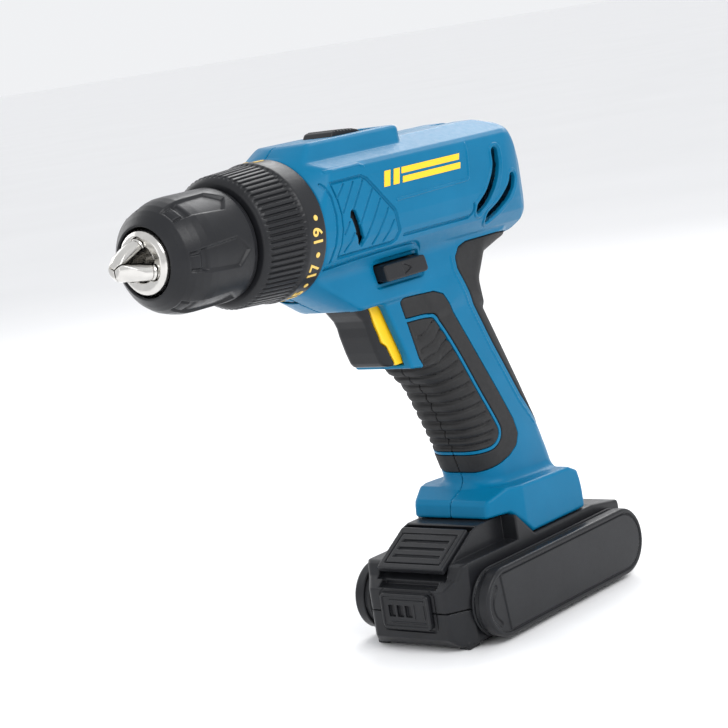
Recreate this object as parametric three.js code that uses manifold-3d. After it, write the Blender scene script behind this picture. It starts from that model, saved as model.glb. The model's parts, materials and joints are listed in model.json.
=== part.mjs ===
// Cordless drill driver: a pistol-grip housing in two halves, a keyless chuck, a torque collar,
// a two-stage planetary gearbox, a motor and a slide-on battery pack.
// Millimetres. +X runs forward along the spindle, +Y is the drill's left, +Z is up.
// The origin is the centre of the battery's underside.
import * as THREE from 'three';
import { mergeVertices } from 'three/addons/utils/BufferGeometryUtils.js';
import Module from 'manifold-3d';

const wasm = await Module();
wasm.setup();

// Driving dimensions
const GAP = 0.3;
const AXIS_Z = 188;
const ROUND = 20;
const FAR = 400;

const BARREL_R = 27;
const BARREL_FRONT = 111.5;
const BARREL_REAR = -38;
const DECK_Z = 214.5;
const HUMP_Z = 219.5;
const WALL = 2.5;

const GRIP_LEAN = THREE.MathUtils.degToRad(24);
const GRIP_HALF_WIDTH = 17;
const RUBBER = 2;

const FOOT_HALF_WIDTH = 27;
const FOOT_BOTTOM_Z = 36.5;
const FOOT_FRONT_Z = 47.5;

const COLLAR_REAR = 111.8;
const COLLAR_FRONT = 143.7;
const COLLAR_R = 27.9;

const SLEEVE_REAR = 144.6;
const SLEEVE_FRONT = 183.5;
const SLEEVE_R = 22.3;
const CHUCK_NOSE = 185.4;
const JAW_TIP = 199;
const JAW_R = 3.2;
const JAW_ANGLE = THREE.MathUtils.degToRad(16);
const JAW_APEX = 207.7;
const JAW_LENGTH = 27;

const MODULE = 0.8;
const SUN_TEETH = 12;
const PLANET_TEETH = 18;
const RING_TEETH = 48;
const RING_R = 21.5;
const CASE_R = 24;

const MOTOR_R = 18;
const MOTOR_REAR = -6;
const MOTOR_FRONT = 51;

const CELL_R = 9.1;
const CELL_LENGTH = 65;
const CELL_PITCH = 19.2;
const CELL_Z = 16.9;
const PACK_HALF_WIDTH = 27;
const CAP_FACE = 36.45;
const CAP_R = 15;
const CAP_CENTRE_X = 44.5;
const CAP_CENTRE_Z = 16.9;
const PACK_SPLIT_Z = 17;
const PACK_FLOOR_Z = 1.5;

const FINISH = {
  blue: { color: 0x1487be, roughness: 0.45, metalness: 0 },
  black: { color: 0x2b2c30, roughness: 0.5, metalness: 0 },
  rubber: { color: 0x39393b, roughness: 0.8, metalness: 0 },
  yellow: { color: 0xffd83c, roughness: 0.4, metalness: 0 },
  steel: { color: 0xb9bbbf, roughness: 0.3, metalness: 1 },
  darkSteel: { color: 0x707278, roughness: 0.4, metalness: 1 },
  copper: { color: 0xb8713a, roughness: 0.4, metalness: 1 },
  nylon: { color: 0xd9d6cc, roughness: 0.6, metalness: 0 },
  cell: { color: 0x2f7d4f, roughness: 0.4, metalness: 0 },
};

const drill = new THREE.Group();

// Turns a closed three.js geometry into a solid that can be joined and cut.
function solidOf(geometry) {
  const bare = geometry.clone();
  bare.deleteAttribute('normal');
  bare.deleteAttribute('uv');
  const merged = mergeVertices(bare, 1e-4);
  const corners = merged.index.array;
  const positions = merged.attributes.position.array;
  const triVerts = [];
  let volume = 0;
  const a = new THREE.Vector3();
  const b = new THREE.Vector3();
  const c = new THREE.Vector3();
  for (let i = 0; i < corners.length; i += 3) {
    const [p, q, r] = [corners[i], corners[i + 1], corners[i + 2]];
    if (p === q || q === r || r === p) continue;
    triVerts.push(p, q, r);
    a.fromArray(positions, 3 * p);
    b.fromArray(positions, 3 * q);
    c.fromArray(positions, 3 * r);
    volume += a.dot(b.cross(c));
  }
  if (volume < 0) triVerts.reverse();
  return new wasm.Manifold(new wasm.Mesh({
    numProp: 3,
    vertProperties: Float32Array.from(positions),
    triVerts: Uint32Array.from(triVerts),
  }));
}

function geometryOf(solid) {
  const mesh = solid.getMesh();
  const geometry = new THREE.BufferGeometry();
  geometry.setAttribute('position', new THREE.BufferAttribute(Float32Array.from(mesh.vertProperties), 3));
  geometry.setIndex(Array.from(mesh.triVerts));
  geometry.computeVertexNormals();
  return geometry;
}

function piece(name, solid, finish, x = 0, y = 0, z = 0) {
  const mesh = new THREE.Mesh(geometryOf(solid), new THREE.MeshStandardMaterial(FINISH[finish]));
  mesh.name = name;
  mesh.position.set(x, y, z);
  drill.add(mesh);
  return mesh;
}

// The main body of a solid, without the crumbs that grazing cuts leave behind.
function mainBody(solid) {
  return solid.decompose().reduce((best, next) => (next.volume() > best.volume() ? next : best));
}

const join = (first, ...rest) => rest.reduce((sum, next) => sum.add(next), first);
const cut = (first, ...rest) => rest.reduce((left, next) => left.subtract(next), first);

function polygon(points) {
  return new THREE.Shape(points.map(([u, v]) => new THREE.Vector2(u, v)));
}

function extrude(shape, depth) {
  return new THREE.ExtrudeGeometry(shape, { depth, bevelEnabled: false, curveSegments: 6 });
}

// A side outline in X and Z, extruded across the drill from y0 to y1.
function acrossY(shape, y0, y1) {
  return solidOf(extrude(shape, y1 - y0).rotateX(Math.PI / 2).translate(0, y1, 0));
}

// An end outline in Y and Z, extruded along the spindle from x0 to x1.
function alongX(shape, x0, x1) {
  const turn = new THREE.Matrix4().set(0, 0, 1, x0, 1, 0, 0, 0, 0, 1, 0, 0, 0, 0, 0, 1);
  return solidOf(extrude(shape, x1 - x0).applyMatrix4(turn));
}

// A plan outline in X and Y, extruded upwards from z0 to z1.
function alongZ(shape, z0, z1) {
  return solidOf(extrude(shape, z1 - z0).translate(0, 0, z0));
}

function box(x0, x1, y0, y1, z0, z1) {
  const block = new THREE.BoxGeometry(x1 - x0, y1 - y0, z1 - z0);
  return solidOf(block.translate((x0 + x1) / 2, (y0 + y1) / 2, (z0 + z1) / 2));
}

// A closed profile of [x, radius] points turned about the X axis.
function turned(profile, segments = ROUND) {
  const points = profile.map(([x, r]) => new THREE.Vector2(r, x));
  points.push(points[0].clone());
  return solidOf(new THREE.LatheGeometry(points, segments).rotateZ(-Math.PI / 2));
}

function rod(x0, x1, radius, segments = ROUND) {
  return turned([[x0, 0], [x0, radius], [x1, radius], [x1, 0]], segments);
}

function ring(x0, x1, inner, outer, segments = ROUND) {
  return turned([[x0, inner], [x0, outer], [x1, outer], [x1, inner]], segments);
}

const raised = (solid) => solid.translate([0, 0, AXIS_Z]);
const aboutX = (solid, degrees) => solid.rotate([degrees, 0, 0]);

// A coil along +X that starts at the origin, as a round wire swept along a helix.
function coil(length, radius, wireRadius, turns) {
  class Helix extends THREE.Curve {
    getPoint(t, target = new THREE.Vector3()) {
      const angle = 2 * Math.PI * turns * t;
      return target.set(length * t, radius * Math.cos(angle), radius * Math.sin(angle));
    }
  }
  const wire = new THREE.Shape().absarc(0, 0, wireRadius, 0, 2 * Math.PI);
  return solidOf(new THREE.ExtrudeGeometry(wire, {
    steps: turns * 7,
    curveSegments: 3,
    extrudePath: new Helix(),
  }));
}

// Housing ----------------------------------------------------------------------------------

function barrelSection() {
  const shape = new THREE.Shape();
  shape.moveTo(-17, 148);
  shape.lineTo(17, 148);
  shape.lineTo(19.1, AXIS_Z - 19.1);
  shape.absarc(0, AXIS_Z, BARREL_R, -Math.PI / 4, 0.35);
  shape.quadraticCurveTo(25.5, DECK_Z - 2, 13, DECK_Z);
  shape.lineTo(-13, DECK_Z);
  shape.quadraticCurveTo(-25.5, DECK_Z - 2, -25.36, AXIS_Z + 9.26);
  shape.absarc(0, AXIS_Z, BARREL_R, Math.PI - 0.35, Math.PI * 1.25);
  return shape;
}

function barrelOutline() {
  const shape = new THREE.Shape();
  shape.moveTo(BARREL_FRONT, 161);
  shape.lineTo(BARREL_FRONT, DECK_Z + 1);
  shape.lineTo(-12, DECK_Z + 1);
  shape.bezierCurveTo(-28, DECK_Z, BARREL_REAR, 204, BARREL_REAR, AXIS_Z);
  shape.bezierCurveTo(BARREL_REAR, 172, -32, 164, -20, 161);
  shape.lineTo(4, 155);
  shape.lineTo(50, 149.5);
  shape.lineTo(87, 149.5);
  shape.lineTo(100, 154.5);
  return shape;
}

// Plan outline that rounds the back of the barrel.
function barrelPlan() {
  const corner = 20;
  const shape = new THREE.Shape();
  shape.moveTo(BARREL_FRONT + 1, -BARREL_R);
  shape.lineTo(BARREL_FRONT + 1, BARREL_R);
  shape.lineTo(BARREL_REAR + corner, BARREL_R);
  shape.absarc(BARREL_REAR + corner, BARREL_R - corner, corner, Math.PI / 2, Math.PI);
  shape.absarc(BARREL_REAR + corner, corner - BARREL_R, corner, Math.PI, Math.PI * 1.5);
  return shape;
}

function hump() {
  const outline = polygon([
    [BARREL_FRONT, 208], [BARREL_FRONT, 215.5], [104, HUMP_Z], [46, HUMP_Z], [40, 213], [40, 208],
  ]);
  return acrossY(outline, -14, 14);
}

// Front and rear lines of the grip, moved inwards by inset.
function gripOutline(inset) {
  const front = [
    [72, 158], [69, 149], [58, 121.5], [50, 119], [45, 113], [37, 106.5], [33, 99.5], [27, 86.5], [22, 74.5],
    [17, 60], [17, 44],
  ];
  const rear = [
    [-34, 44], [-34, 55], [-31, 66.5], [-26, 81.5], [-18, 99.5], [-10, 116.5], [0, 137.5], [2, 147],
    [-4, 156],
  ];
  const points = [
    ...front.map(([x, z]) => [x - inset, z]),
    ...rear.map(([x, z]) => [x + inset, z]),
  ];
  return polygon(points);
}

// The grip's rounded section, swept along its lean.
function gripColumn(inset) {
  const half = GRIP_HALF_WIDTH - inset;
  const depth = 29 - inset;
  const section = new THREE.Shape().absellipse(0, 0, depth, half, 0, 2 * Math.PI);
  const column = extrude(section, 150).translate(0, 0, -75);
  return solidOf(column.rotateY(GRIP_LEAN).translate(11, 0, 102));
}

function gripSolid(inset) {
  const trunk = acrossY(gripOutline(inset), -GRIP_HALF_WIDTH, GRIP_HALF_WIDTH);
  return trunk.intersect(gripColumn(inset));
}

// The square-sided mouth in front of the grip, which the trigger slides into.
function triggerGuard() {
  return acrossY(gripOutline(0), -15.5, 15.5).intersect(box(50.5, 80, -16, 16, 118, 158));
}

function footSolid() {
  const outline = polygon([
    [30.5, FOOT_FRONT_Z], [29, 54], [18, 58.5], [-24, 57], [-30, 54], [-35, FOOT_BOTTOM_Z],
    [8, FOOT_BOTTOM_Z], [19, FOOT_FRONT_Z],
  ]);
  const plan = polygon([
    [31, 19.2], [12, FOOT_HALF_WIDTH], [-31, FOOT_HALF_WIDTH], [-36, 22], [-36, -22], [-31, -FOOT_HALF_WIDTH],
    [12, -FOOT_HALF_WIDTH], [31, -19.2],
  ]);
  return acrossY(outline, -FOOT_HALF_WIDTH, FOOT_HALF_WIDTH).intersect(alongZ(plan, 30, 60));
}

function housingOuter() {
  const barrel = acrossY(barrelOutline(), -BARREL_R, BARREL_R)
    .intersect(alongX(barrelSection(), BARREL_REAR - 1, BARREL_FRONT))
    .intersect(alongZ(barrelPlan(), 140, 220));
  return join(barrel, hump(), gripSolid(0), triggerGuard(), footSolid());
}

function housingInner() {
  const bore = raised(turned([
    [-33, 0], [-32, 12], [-26, 20], [-16, BARREL_R - WALL], [BARREL_FRONT + 1, BARREL_R - WALL],
    [BARREL_FRONT + 1, 0],
  ]));
  const switchSpace = box(8, 57.5, -13.5, 13.5, 124, 172);
  const selectorSpace = box(44, 78, -16.5, 16.5, 151.5, 172);
  const foot = box(-31.5, 31, -19.2, 19.2, FOOT_BOTTOM_Z - 1, 47.3).add(box(-30, 14, -16, 16, 46, 52));
  const handle = gripSolid(WALL + RUBBER).intersect(box(-60, 60, -20, 20, 50, 140));
  return join(bore, handle, switchSpace, selectorSpace, foot);
}

function slotY(points, y0, y1) {
  return acrossY(polygon(points), y0, y1);
}

function housingOpenings() {
  const trigger = box(47.5, 90, -11.4, 11.4, 121.8, 149.8);
  const selector = slotY([[74.6, 166.1], [46.6, 166.1], [44.4, 157.9], [72.4, 157.9]], -30, 30);
  const gearSlot = box(49, 77, -4.2, 4.2, 205, 224);
  const gearPocket = box(48.6, 78.4, -8.4, 8.4, 217, 224);
  const vents = [[9, 203, 22, 177], [-3, 193, 12, 171]].map(([x0, z0, x1, z1]) => (
    slotY([[x0 - 2.2, z0 - 1], [x0 + 2.2, z0 + 1], [x1 + 2.2, z1 + 1], [x1 - 2.2, z1 - 1]], -30, 30)
  ));
  const frontVent = slotY([[95.4, 190], [92, 191], [86.4, 178], [89.8, 177]], -30, 30);
  return [trigger, selector, gearSlot, gearPocket, frontVent, ...vents];
}

// The skins that the soft grip parts fill, as a ring of the grip between its surface and inset.
function skin(inset, prism) {
  return gripSolid(0).subtract(gripSolid(inset)).intersect(prism);
}

const GRIP_PATCH = [
  [49.5, 143], [38, 143], [21, 122], [11, 104], [1, 86], [-3, 75], [0, 67], [10, 60], [26, 60], [48, 112],
  [48, 118],
];
const REAR_PATCH = [
  [12, 150], [12, 138], [4, 116], [-6, 98], [-16, 81], [-27, 74], [-60, 60], [-60, 150],
];

// The room that a soft part needs: its own skin, moved a gap's width each way.
function roomFor(points) {
  const prism = slotY(points, -30, 30);
  const space = gripSolid(-RUBBER).subtract(gripSolid(RUBBER + GAP)).intersect(prism);
  const moves = [[GAP, 0], [-GAP, 0], [0, GAP], [0, -GAP]];
  return join(space, ...moves.map(([x, z]) => space.translate([x, 0, z])));
}

function addHousing() {
  const outer = housingOuter();
  const soft = [roomFor(GRIP_PATCH), roomFor(REAR_PATCH)];
  const shell = cut(outer, housingInner(), ...soft, ...housingOpenings(), ...screwHoles());
  piece('housing_left', mainBody(shell.intersect(box(-FAR, FAR, GAP / 2, FAR, 0, FAR))), 'blue');
  piece('housing_right', mainBody(shell.intersect(box(-FAR, FAR, -FAR, -GAP / 2, 0, FAR))), 'blue');
}

function addRubber() {
  const sides = [['left', GAP / 2, 30], ['right', -30, -GAP / 2]];
  for (const [side, y0, y1] of sides) {
    piece(`grip_rubber_${side}`, mainBody(skin(RUBBER, slotY(GRIP_PATCH, y0, y1))), 'rubber');
    piece(`rear_rubber_${side}`, mainBody(skin(RUBBER, slotY(REAR_PATCH, y0, y1))), 'rubber');
  }
}

// Housing screws, driven from the right half.
const SCREWS = [[103, 160.5, 26], [-24, 172, 26], [-14, 62, 17], [34, 156, 17.5]];

function screwHoles() {
  return SCREWS.map(([x, z]) => rod(-40, 0, 3.4, 16).rotate([0, 0, 90]).translate([x, 0, z]));
}

function addScrews() {
  SCREWS.forEach(([x, z, depth], i) => {
    const head = 2 - depth;
    const screw = turned([[head, 0], [head, 3], [head + 2.5, 3], [head + 2.5, 1.5], [-1, 1.5], [-1, 0]], 16);
    piece(`housing_screw_${i + 1}`, screw.rotate([0, 0, 90]), 'darkSteel', x, 0, z);
  });
}

// Controls ---------------------------------------------------------------------------------

function addControls() {
  const thumbOutline = polygon([
    [59, 217.4], [59, 219.8], [64, 221.6], [74, 222], [77.6, 219.6], [77.6, 217.4],
  ]);
  const thumb = acrossY(thumbOutline, -7.8, 7.8);
  const stem = box(64, 72, -3.6, 3.6, 213.2, 217.6);
  piece('gear_selector', thumb.add(stem), 'black');

  const ends = slotY([[74, 165.5], [46.8, 165.5], [45, 158.5], [72.2, 158.5]], -21.8, 21.8)
    .subtract(box(40, 80, -13, 13, 150, 170));
  const bar = box(52, 68, -13.3, 13.3, 152.6, 160);
  piece('direction_selector', ends.add(bar), 'black');

  const black = polygon([
    [81, 149.2], [75.5, 144.5], [73.6, 138], [71.2, 129], [69, 124], [66, 122.4], [63.4, 122.4], [67.2, 131],
    [69.7, 133], [70.7, 137], [74.9, 149.2],
  ]);
  piece('trigger', acrossY(black, -10.9, 10.9), 'black');
  const yellow = polygon([
    [74.5, 149.2], [70.3, 137.1], [69.3, 133.3], [66.8, 131.1], [63, 122.4], [56, 122.4], [66.4, 149.2],
  ]);
  piece('trigger_core', acrossY(yellow, -10.9, 10.9), 'yellow');
  piece('switch_body', box(18, 39, -10.5, 10.5, 125, 150).add(box(38, 48, -4.5, 4.5, 130, 142)), 'black');
  piece('trigger_spring', coil(8, 4, 0.7, 4).translate([49.2, 0, 136]), 'steel');
}

// Clutch and chuck -------------------------------------------------------------------------

function addCollar() {
  const profile = [
    [COLLAR_REAR, 25], [COLLAR_REAR, COLLAR_R], [121, COLLAR_R], [123, COLLAR_R - 0.6],
    [COLLAR_FRONT - 2, 25.9], [COLLAR_FRONT, 24.2], [COLLAR_FRONT, 13.5], [COLLAR_FRONT - 3, 13.5],
    [COLLAR_FRONT - 3, 22], [113.5, 22],
  ];
  piece('torque_collar', raised(turned(profile, 32)), 'black');
  piece('clutch_nut', raised(ring(134.5, 139.5, 12.9, 21.2)), 'darkSteel');
  piece('clutch_spring', raised(coil(25, 16, 1.2, 6).translate([107.8, 0, 0])), 'steel');
}

const jawRadiusAt = (x) => (JAW_APEX - x) * Math.tan(JAW_ANGLE);

// A rod along one jaw's slanted line, measured back from the jaw's tip plane.
function jawRod(radius, front, back) {
  const slant = rod(-back, front, radius, 12).rotate([0, THREE.MathUtils.radToDeg(JAW_ANGLE), 0]);
  return slant.translate([JAW_TIP, 0, jawRadiusAt(JAW_TIP)]);
}

function jawSolid() {
  const wedge = alongX(polygon([[0, 0.2], [40, 23.3], [40, 40], [-40, 40], [-40, 23.3]]), 140, 230);
  const nose = turned([[150, 0], [150, 30], [193, 30], [193, 6.4], [196.5, 5.2], [JAW_TIP, 3], [JAW_TIP, 0]]);
  return jawRod(JAW_R, 3, JAW_LENGTH).intersect(wedge).intersect(nose);
}

function addChuck() {
  const sleeve = turned([
    [SLEEVE_REAR, 20.7], [SLEEVE_REAR, 21.7], [146.5, SLEEVE_R], [168, SLEEVE_R], [176, 20.6], [181, 17.2],
    [SLEEVE_FRONT, 14.2], [SLEEVE_FRONT, 13.3], [179.5, 13.3], [177, 17.4], [171, 19.2], [168, 20.7],
  ], 32);
  piece('chuck_sleeve', raised(sleeve), 'black');

  let core = turned([
    [146, 6.6], [146, 18], [151, 18], [151, 13.6], [170.5, 13.6], [170.5, 18.4], [172, 18.4], [176.5, 16.6],
    [178.8, 13], [182, 12.9], [CHUCK_NOSE, 11.2], [CHUCK_NOSE, 7.2], [176, 6.4], [166, 3.2], [162, 3.2],
    [162, 6.6],
  ]);
  for (let i = 0; i < 3; i += 1) core = core.subtract(aboutX(jawRod(JAW_R + 0.25, 10, 60), 120 * i));
  piece('chuck_body', raised(core), 'steel');

  for (let i = 0; i < 3; i += 1) {
    piece(`chuck_jaw_${i + 1}`, raised(aboutX(jawSolid(), 120 * i)), 'steel');
  }
  const nut = turned([[160, 18.1], [160, 20.3], [168, 20.3], [168, 15.8]]);
  piece('chuck_nut', raised(nut), 'darkSteel');
  const screw = turned([[148, 0], [148, 2], [162.3, 2], [162.3, 2.8], [165.5, 2.8], [165.5, 0]], 16);
  piece('chuck_screw', raised(screw), 'darkSteel');
}

// Gearbox ----------------------------------------------------------------------------------

// A gear outline: straight-flanked teeth, thinned so that meshed gears run clear of each other.
function gearOutline(teeth, tipReach, rootReach, phase) {
  const pitchRadius = MODULE * teeth / 2;
  const step = 2 * Math.PI / teeth;
  const corners = [[rootReach, -0.27], [tipReach, -0.1], [tipReach, 0.1], [rootReach, 0.27]];
  const points = [];
  for (let i = 0; i < teeth; i += 1) {
    for (const [reach, share] of corners) {
      const angle = step * (i + share) + phase;
      const radius = pitchRadius + reach * MODULE;
      points.push([radius * Math.cos(angle), radius * Math.sin(angle)]);
    }
  }
  return points;
}

function spurGear(teeth, x0, x1, phase = 0) {
  return alongX(polygon(gearOutline(teeth, 0.75, -1.1, phase)), x0, x1);
}

function ringGear(x0, x1, outer) {
  const teeth = alongX(polygon(gearOutline(RING_TEETH, -0.75, 1.1, 0)), x0 - 1, x1 + 1);
  return rod(x0, x1, outer, 24).subtract(teeth);
}

const PLANET_ORBIT = MODULE * (SUN_TEETH + PLANET_TEETH) / 2;
const PLANET_BORE = 2.2;
const PLANET_PIN = 2;

function addPlanets(stage, x0, x1) {
  const blank = spurGear(PLANET_TEETH, x0, x1, Math.PI / PLANET_TEETH);
  const gear = blank.subtract(rod(x0 - 1, x1 + 1, PLANET_BORE, 12));
  for (let i = 0; i < 3; i += 1) {
    const planet = aboutX(gear.translate([0, PLANET_ORBIT, 0]), 120 * i);
    piece(`planet_${stage}${i + 1}`, raised(planet), 'steel');
  }
}

function carrierDisc(x0, x1, pinStart) {
  let carrier = rod(x0, x1, 17.4);
  for (let i = 0; i < 3; i += 1) {
    const pin = rod(pinStart, x0 + 0.5, PLANET_PIN, 12).translate([0, PLANET_ORBIT, 0]);
    carrier = carrier.add(aboutX(pin, 120 * i));
  }
  return carrier;
}

function addGearbox() {
  const caseProfile = [
    [57, 21.9], [57, CASE_R], [105, CASE_R], [107, 12.5], [139.8, 12.5], [139.8, 9.6], [125, 9.6], [125, 7.2],
    [101, 7.2], [101, 21.9],
  ];
  const selectorWay = box(63, 76, -4.4, 4.4, 20, 30);
  piece('gearbox_case', raised(turned(caseProfile, 24).subtract(selectorWay)), 'black');
  piece('gearbox_cover', raised(ring(53.5, 56.7, 5.4, CASE_R)), 'darkSteel');
  piece('ring_gear_1', raised(ringGear(59, 71, RING_R)), 'nylon');
  piece('ring_gear_2', raised(ringGear(84, 92, RING_R - 0.2)), 'steel');
  piece('motor_pinion', raised(spurGear(SUN_TEETH, 57.5, 70).subtract(rod(57, 71, 1.9, 12))), 'steel');
  addPlanets('a', 60, 70);
  addPlanets('b', 78.5, 92);
  piece('carrier_1', raised(join(carrierDisc(71.6, 75, 60), spurGear(SUN_TEETH, 74.5, 92.4))), 'steel');
  piece('carrier_2', raised(carrierDisc(93.2, 97, 79)), 'steel');
  const spindle = turned([
    [97.3, 0], [97.3, 6.9], [108, 6.9], [108, 6.2], [160, 6.2], [160, 2.4], [146, 2.4], [146, 0],
  ]);
  piece('spindle', raised(spindle), 'darkSteel');
  piece('spindle_bearing', raised(ring(126, 134, 6.5, 9.3)), 'steel');
}

// Motor ------------------------------------------------------------------------------------

function addMotor() {
  const can = [
    [MOTOR_REAR, MOTOR_R - 1.5], [MOTOR_REAR, MOTOR_R], [MOTOR_FRONT, MOTOR_R], [MOTOR_FRONT, 5], [53.2, 5],
    [53.2, 2.2], [MOTOR_FRONT - 1.5, 2.2], [MOTOR_FRONT - 1.5, MOTOR_R - 1.5],
  ];
  piece('motor_can', raised(turned(can)), 'steel');
  const armature = [
    [-11, 0], [-11, 1.6], [-5, 1.6], [-5, 4.5], [3, 4.5], [3, 9], [8, 12.5], [8, 14], [38, 14], [38, 12.5],
    [42, 9], [42, 1.6], [70, 1.6], [70, 0],
  ];
  piece('motor_armature', raised(turned(armature, 16)), 'copper');
  let fan = ring(43, 44, 1.8, 15);
  for (let i = 0; i < 8; i += 1) fan = fan.add(aboutX(box(43.9, 48, -0.5, 0.5, 5, 14.5), 45 * i));
  piece('motor_fan', raised(fan), 'black');
  const brushWays = join(box(-5.5, 3.5, -2.8, 2.8, 4.8, 14), box(-5.5, 3.5, -2.8, 2.8, -14, -4.8));
  const endCap = turned([
    [-10, 2.2], [-10, 16], [MOTOR_REAR - GAP, MOTOR_R], [MOTOR_REAR - GAP, 16.1], [2, 16.1], [2, 13],
    [-6.5, 13], [-6.5, 2.2],
  ]);
  piece('motor_end_cap', raised(endCap.subtract(brushWays)), 'black');
  piece('brush_upper', raised(box(-4.5, 1.5, -2.3, 2.3, 5, 12)), 'darkSteel');
  piece('brush_lower', raised(box(-4.5, 1.5, -2.3, 2.3, -12, -5)), 'darkSteel');
}

// Battery pack -----------------------------------------------------------------------------

function stadium(radius, halfSpan = CAP_CENTRE_X) {
  const shape = new THREE.Shape();
  shape.absarc(halfSpan, CAP_CENTRE_Z, radius, -Math.PI / 2, Math.PI / 2);
  shape.absarc(-halfSpan, CAP_CENTRE_Z, radius, Math.PI / 2, Math.PI * 1.5);
  return shape;
}

function packBlock() {
  const outline = polygon([
    [-58, PACK_FLOOR_Z], [-62, 8], [-62, 26], [-57, 33], [-37, FOOT_BOTTOM_Z - 0.5],
    [7.5, FOOT_BOTTOM_Z - 0.5], [18.7, FOOT_FRONT_Z - 0.5], [30.5, FOOT_FRONT_Z - 0.5], [40, 43.6],
    [58, 33.2], [60.5, 30], [67, 26.5],
    [67, 5.5], [63, PACK_FLOOR_Z],
  ]);
  const plan = polygon([
    [67.5, 20], [57, PACK_HALF_WIDTH], [-57, PACK_HALF_WIDTH], [-62.5, 22], [-62.5, -22],
    [-57, -PACK_HALF_WIDTH], [57, -PACK_HALF_WIDTH], [67.5, -20],
  ]);
  const block = acrossY(outline, -PACK_HALF_WIDTH, PACK_HALF_WIDTH).intersect(alongZ(plan, 0, 60));
  const shoulder = join(box(20, 80, 19.3, 40, 36.3, 60), box(20, 80, -40, -19.3, 36.3, 60));
  return block.subtract(shoulder);
}

function packFeet() {
  const feet = [];
  for (const x of [-52, 54]) {
    for (const y of [-22, 22]) feet.push(box(x, x + 7, y - 3, y + 3, 0, 3));
  }
  return join(box(-18, 18, -12, 12, 0, 3), ...feet);
}

function addBattery() {
  const cavity = acrossY(stadium(CAP_R - 3.5, 42), -40, 40);
  const rail = box(-29, 18.5, -17, 17, 30, FOOT_FRONT_Z - 0.7);
  const bladeWays = [-9, 0, 9].map((y) => box(-30, -10, y - 1.2, y + 1.2, 34, 50));
  const buttonPocket = slotY([[64.5, 33.2], [38.8, 48], [36, 43], [61.7, 28.2]], -18.3, 18.3);
  const springPocket = rod(0, 8, 4.4, 16).rotate([0, -60, 0]).translate([47.2, 0, 31.6]);
  const whole = cut(join(packBlock(), rail, packFeet()), cavity, buttonPocket, springPocket, ...bladeWays);
  piece('battery_shell', whole.intersect(box(-FAR, FAR, -FAR, FAR, PACK_SPLIT_Z + GAP / 2, FAR)), 'black');
  piece('battery_base', whole.intersect(box(-FAR, FAR, -FAR, FAR, -1, PACK_SPLIT_Z - GAP / 2)), 'black');

  const cap = acrossY(stadium(CAP_R), PACK_HALF_WIDTH + GAP, CAP_FACE - 1.2)
    .add(acrossY(stadium(CAP_R - 1.2), CAP_FACE - 1.3, CAP_FACE))
    .subtract(acrossY(stadium(CAP_R - 3.5, 42), PACK_HALF_WIDTH - 1, 33.4));
  piece('battery_cap_left', cap, 'black');
  piece('battery_cap_right', cap.rotate([0, 0, 180]), 'black');

  for (let i = 0; i < 5; i += 1) {
    const cell = rod(-CELL_LENGTH / 2, CELL_LENGTH / 2, CELL_R).rotate([0, 0, 90]);
    piece(`cell_${i + 1}`, cell, 'cell', CELL_PITCH * (i - 2), 0, CELL_Z);
  }

  const panel = new THREE.Shape();
  panel.moveTo(-11, 10.2);
  panel.lineTo(11, 10.2);
  panel.absarc(11, 12.2, 2, -Math.PI / 2, 0);
  panel.absarc(11, 23.5, 2, 0, Math.PI / 2);
  panel.absarc(-11, 23.5, 2, Math.PI / 2, Math.PI);
  panel.absarc(-11, 12.2, 2, Math.PI, Math.PI * 1.5);
  piece('gauge_panel', alongX(panel, 67 + GAP, 69.6), 'black');

  const button = slotY([[61.3, 32.2], [40.6, 44.1], [42.2, 46.9], [62.9, 35]], -17.7, 17.7);
  const spring = coil(5.4, 3, 0.5, 4).rotate([0, -60, 0]).translate([47.8, 0, 32.6]);
  piece('release_button', button, 'black');
  piece('release_spring', spring, 'steel');
}

function addTerminals() {
  const blades = [-9, 0, 9].map((y) => box(-26, -14, y - 0.7, y + 0.7, 38, 48.5));
  piece('terminal_block', join(box(-28, -8, -15, 15, 48, 51.5), ...blades), 'black');
}

addHousing();
addRubber();
addScrews();
addControls();
addCollar();
addChuck();
addGearbox();
addMotor();
addBattery();
addTerminals();

export default drill;
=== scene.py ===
"""The drill's looks, built in millimetres and handed to Blender in metres, in the CAD's frame.

Moulded parts are signed distance fields, meshed with surface nets. Turned parts are polar grids.
"""

import json
import math

import bmesh
import bpy
import numpy as np
from mathutils import Matrix, Vector

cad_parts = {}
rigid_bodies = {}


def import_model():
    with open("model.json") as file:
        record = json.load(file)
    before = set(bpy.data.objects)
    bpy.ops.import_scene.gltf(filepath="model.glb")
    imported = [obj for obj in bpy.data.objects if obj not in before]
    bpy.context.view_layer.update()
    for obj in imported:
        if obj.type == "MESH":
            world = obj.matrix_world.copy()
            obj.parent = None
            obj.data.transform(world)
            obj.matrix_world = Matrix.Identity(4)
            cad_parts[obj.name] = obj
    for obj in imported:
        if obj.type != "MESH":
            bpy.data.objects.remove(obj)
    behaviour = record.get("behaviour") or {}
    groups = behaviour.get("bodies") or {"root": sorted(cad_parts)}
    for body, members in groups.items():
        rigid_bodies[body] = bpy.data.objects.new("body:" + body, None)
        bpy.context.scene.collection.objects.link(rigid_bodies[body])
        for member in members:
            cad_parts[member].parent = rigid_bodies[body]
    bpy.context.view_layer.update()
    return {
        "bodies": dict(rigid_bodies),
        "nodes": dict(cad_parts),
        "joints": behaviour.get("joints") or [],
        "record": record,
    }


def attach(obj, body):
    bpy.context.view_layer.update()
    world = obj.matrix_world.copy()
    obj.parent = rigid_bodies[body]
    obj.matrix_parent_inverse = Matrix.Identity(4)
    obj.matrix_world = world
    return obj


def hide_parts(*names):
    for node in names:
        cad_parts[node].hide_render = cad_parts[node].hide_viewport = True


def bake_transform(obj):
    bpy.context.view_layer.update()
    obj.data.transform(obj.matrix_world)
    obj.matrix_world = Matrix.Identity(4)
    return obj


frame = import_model()

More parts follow.
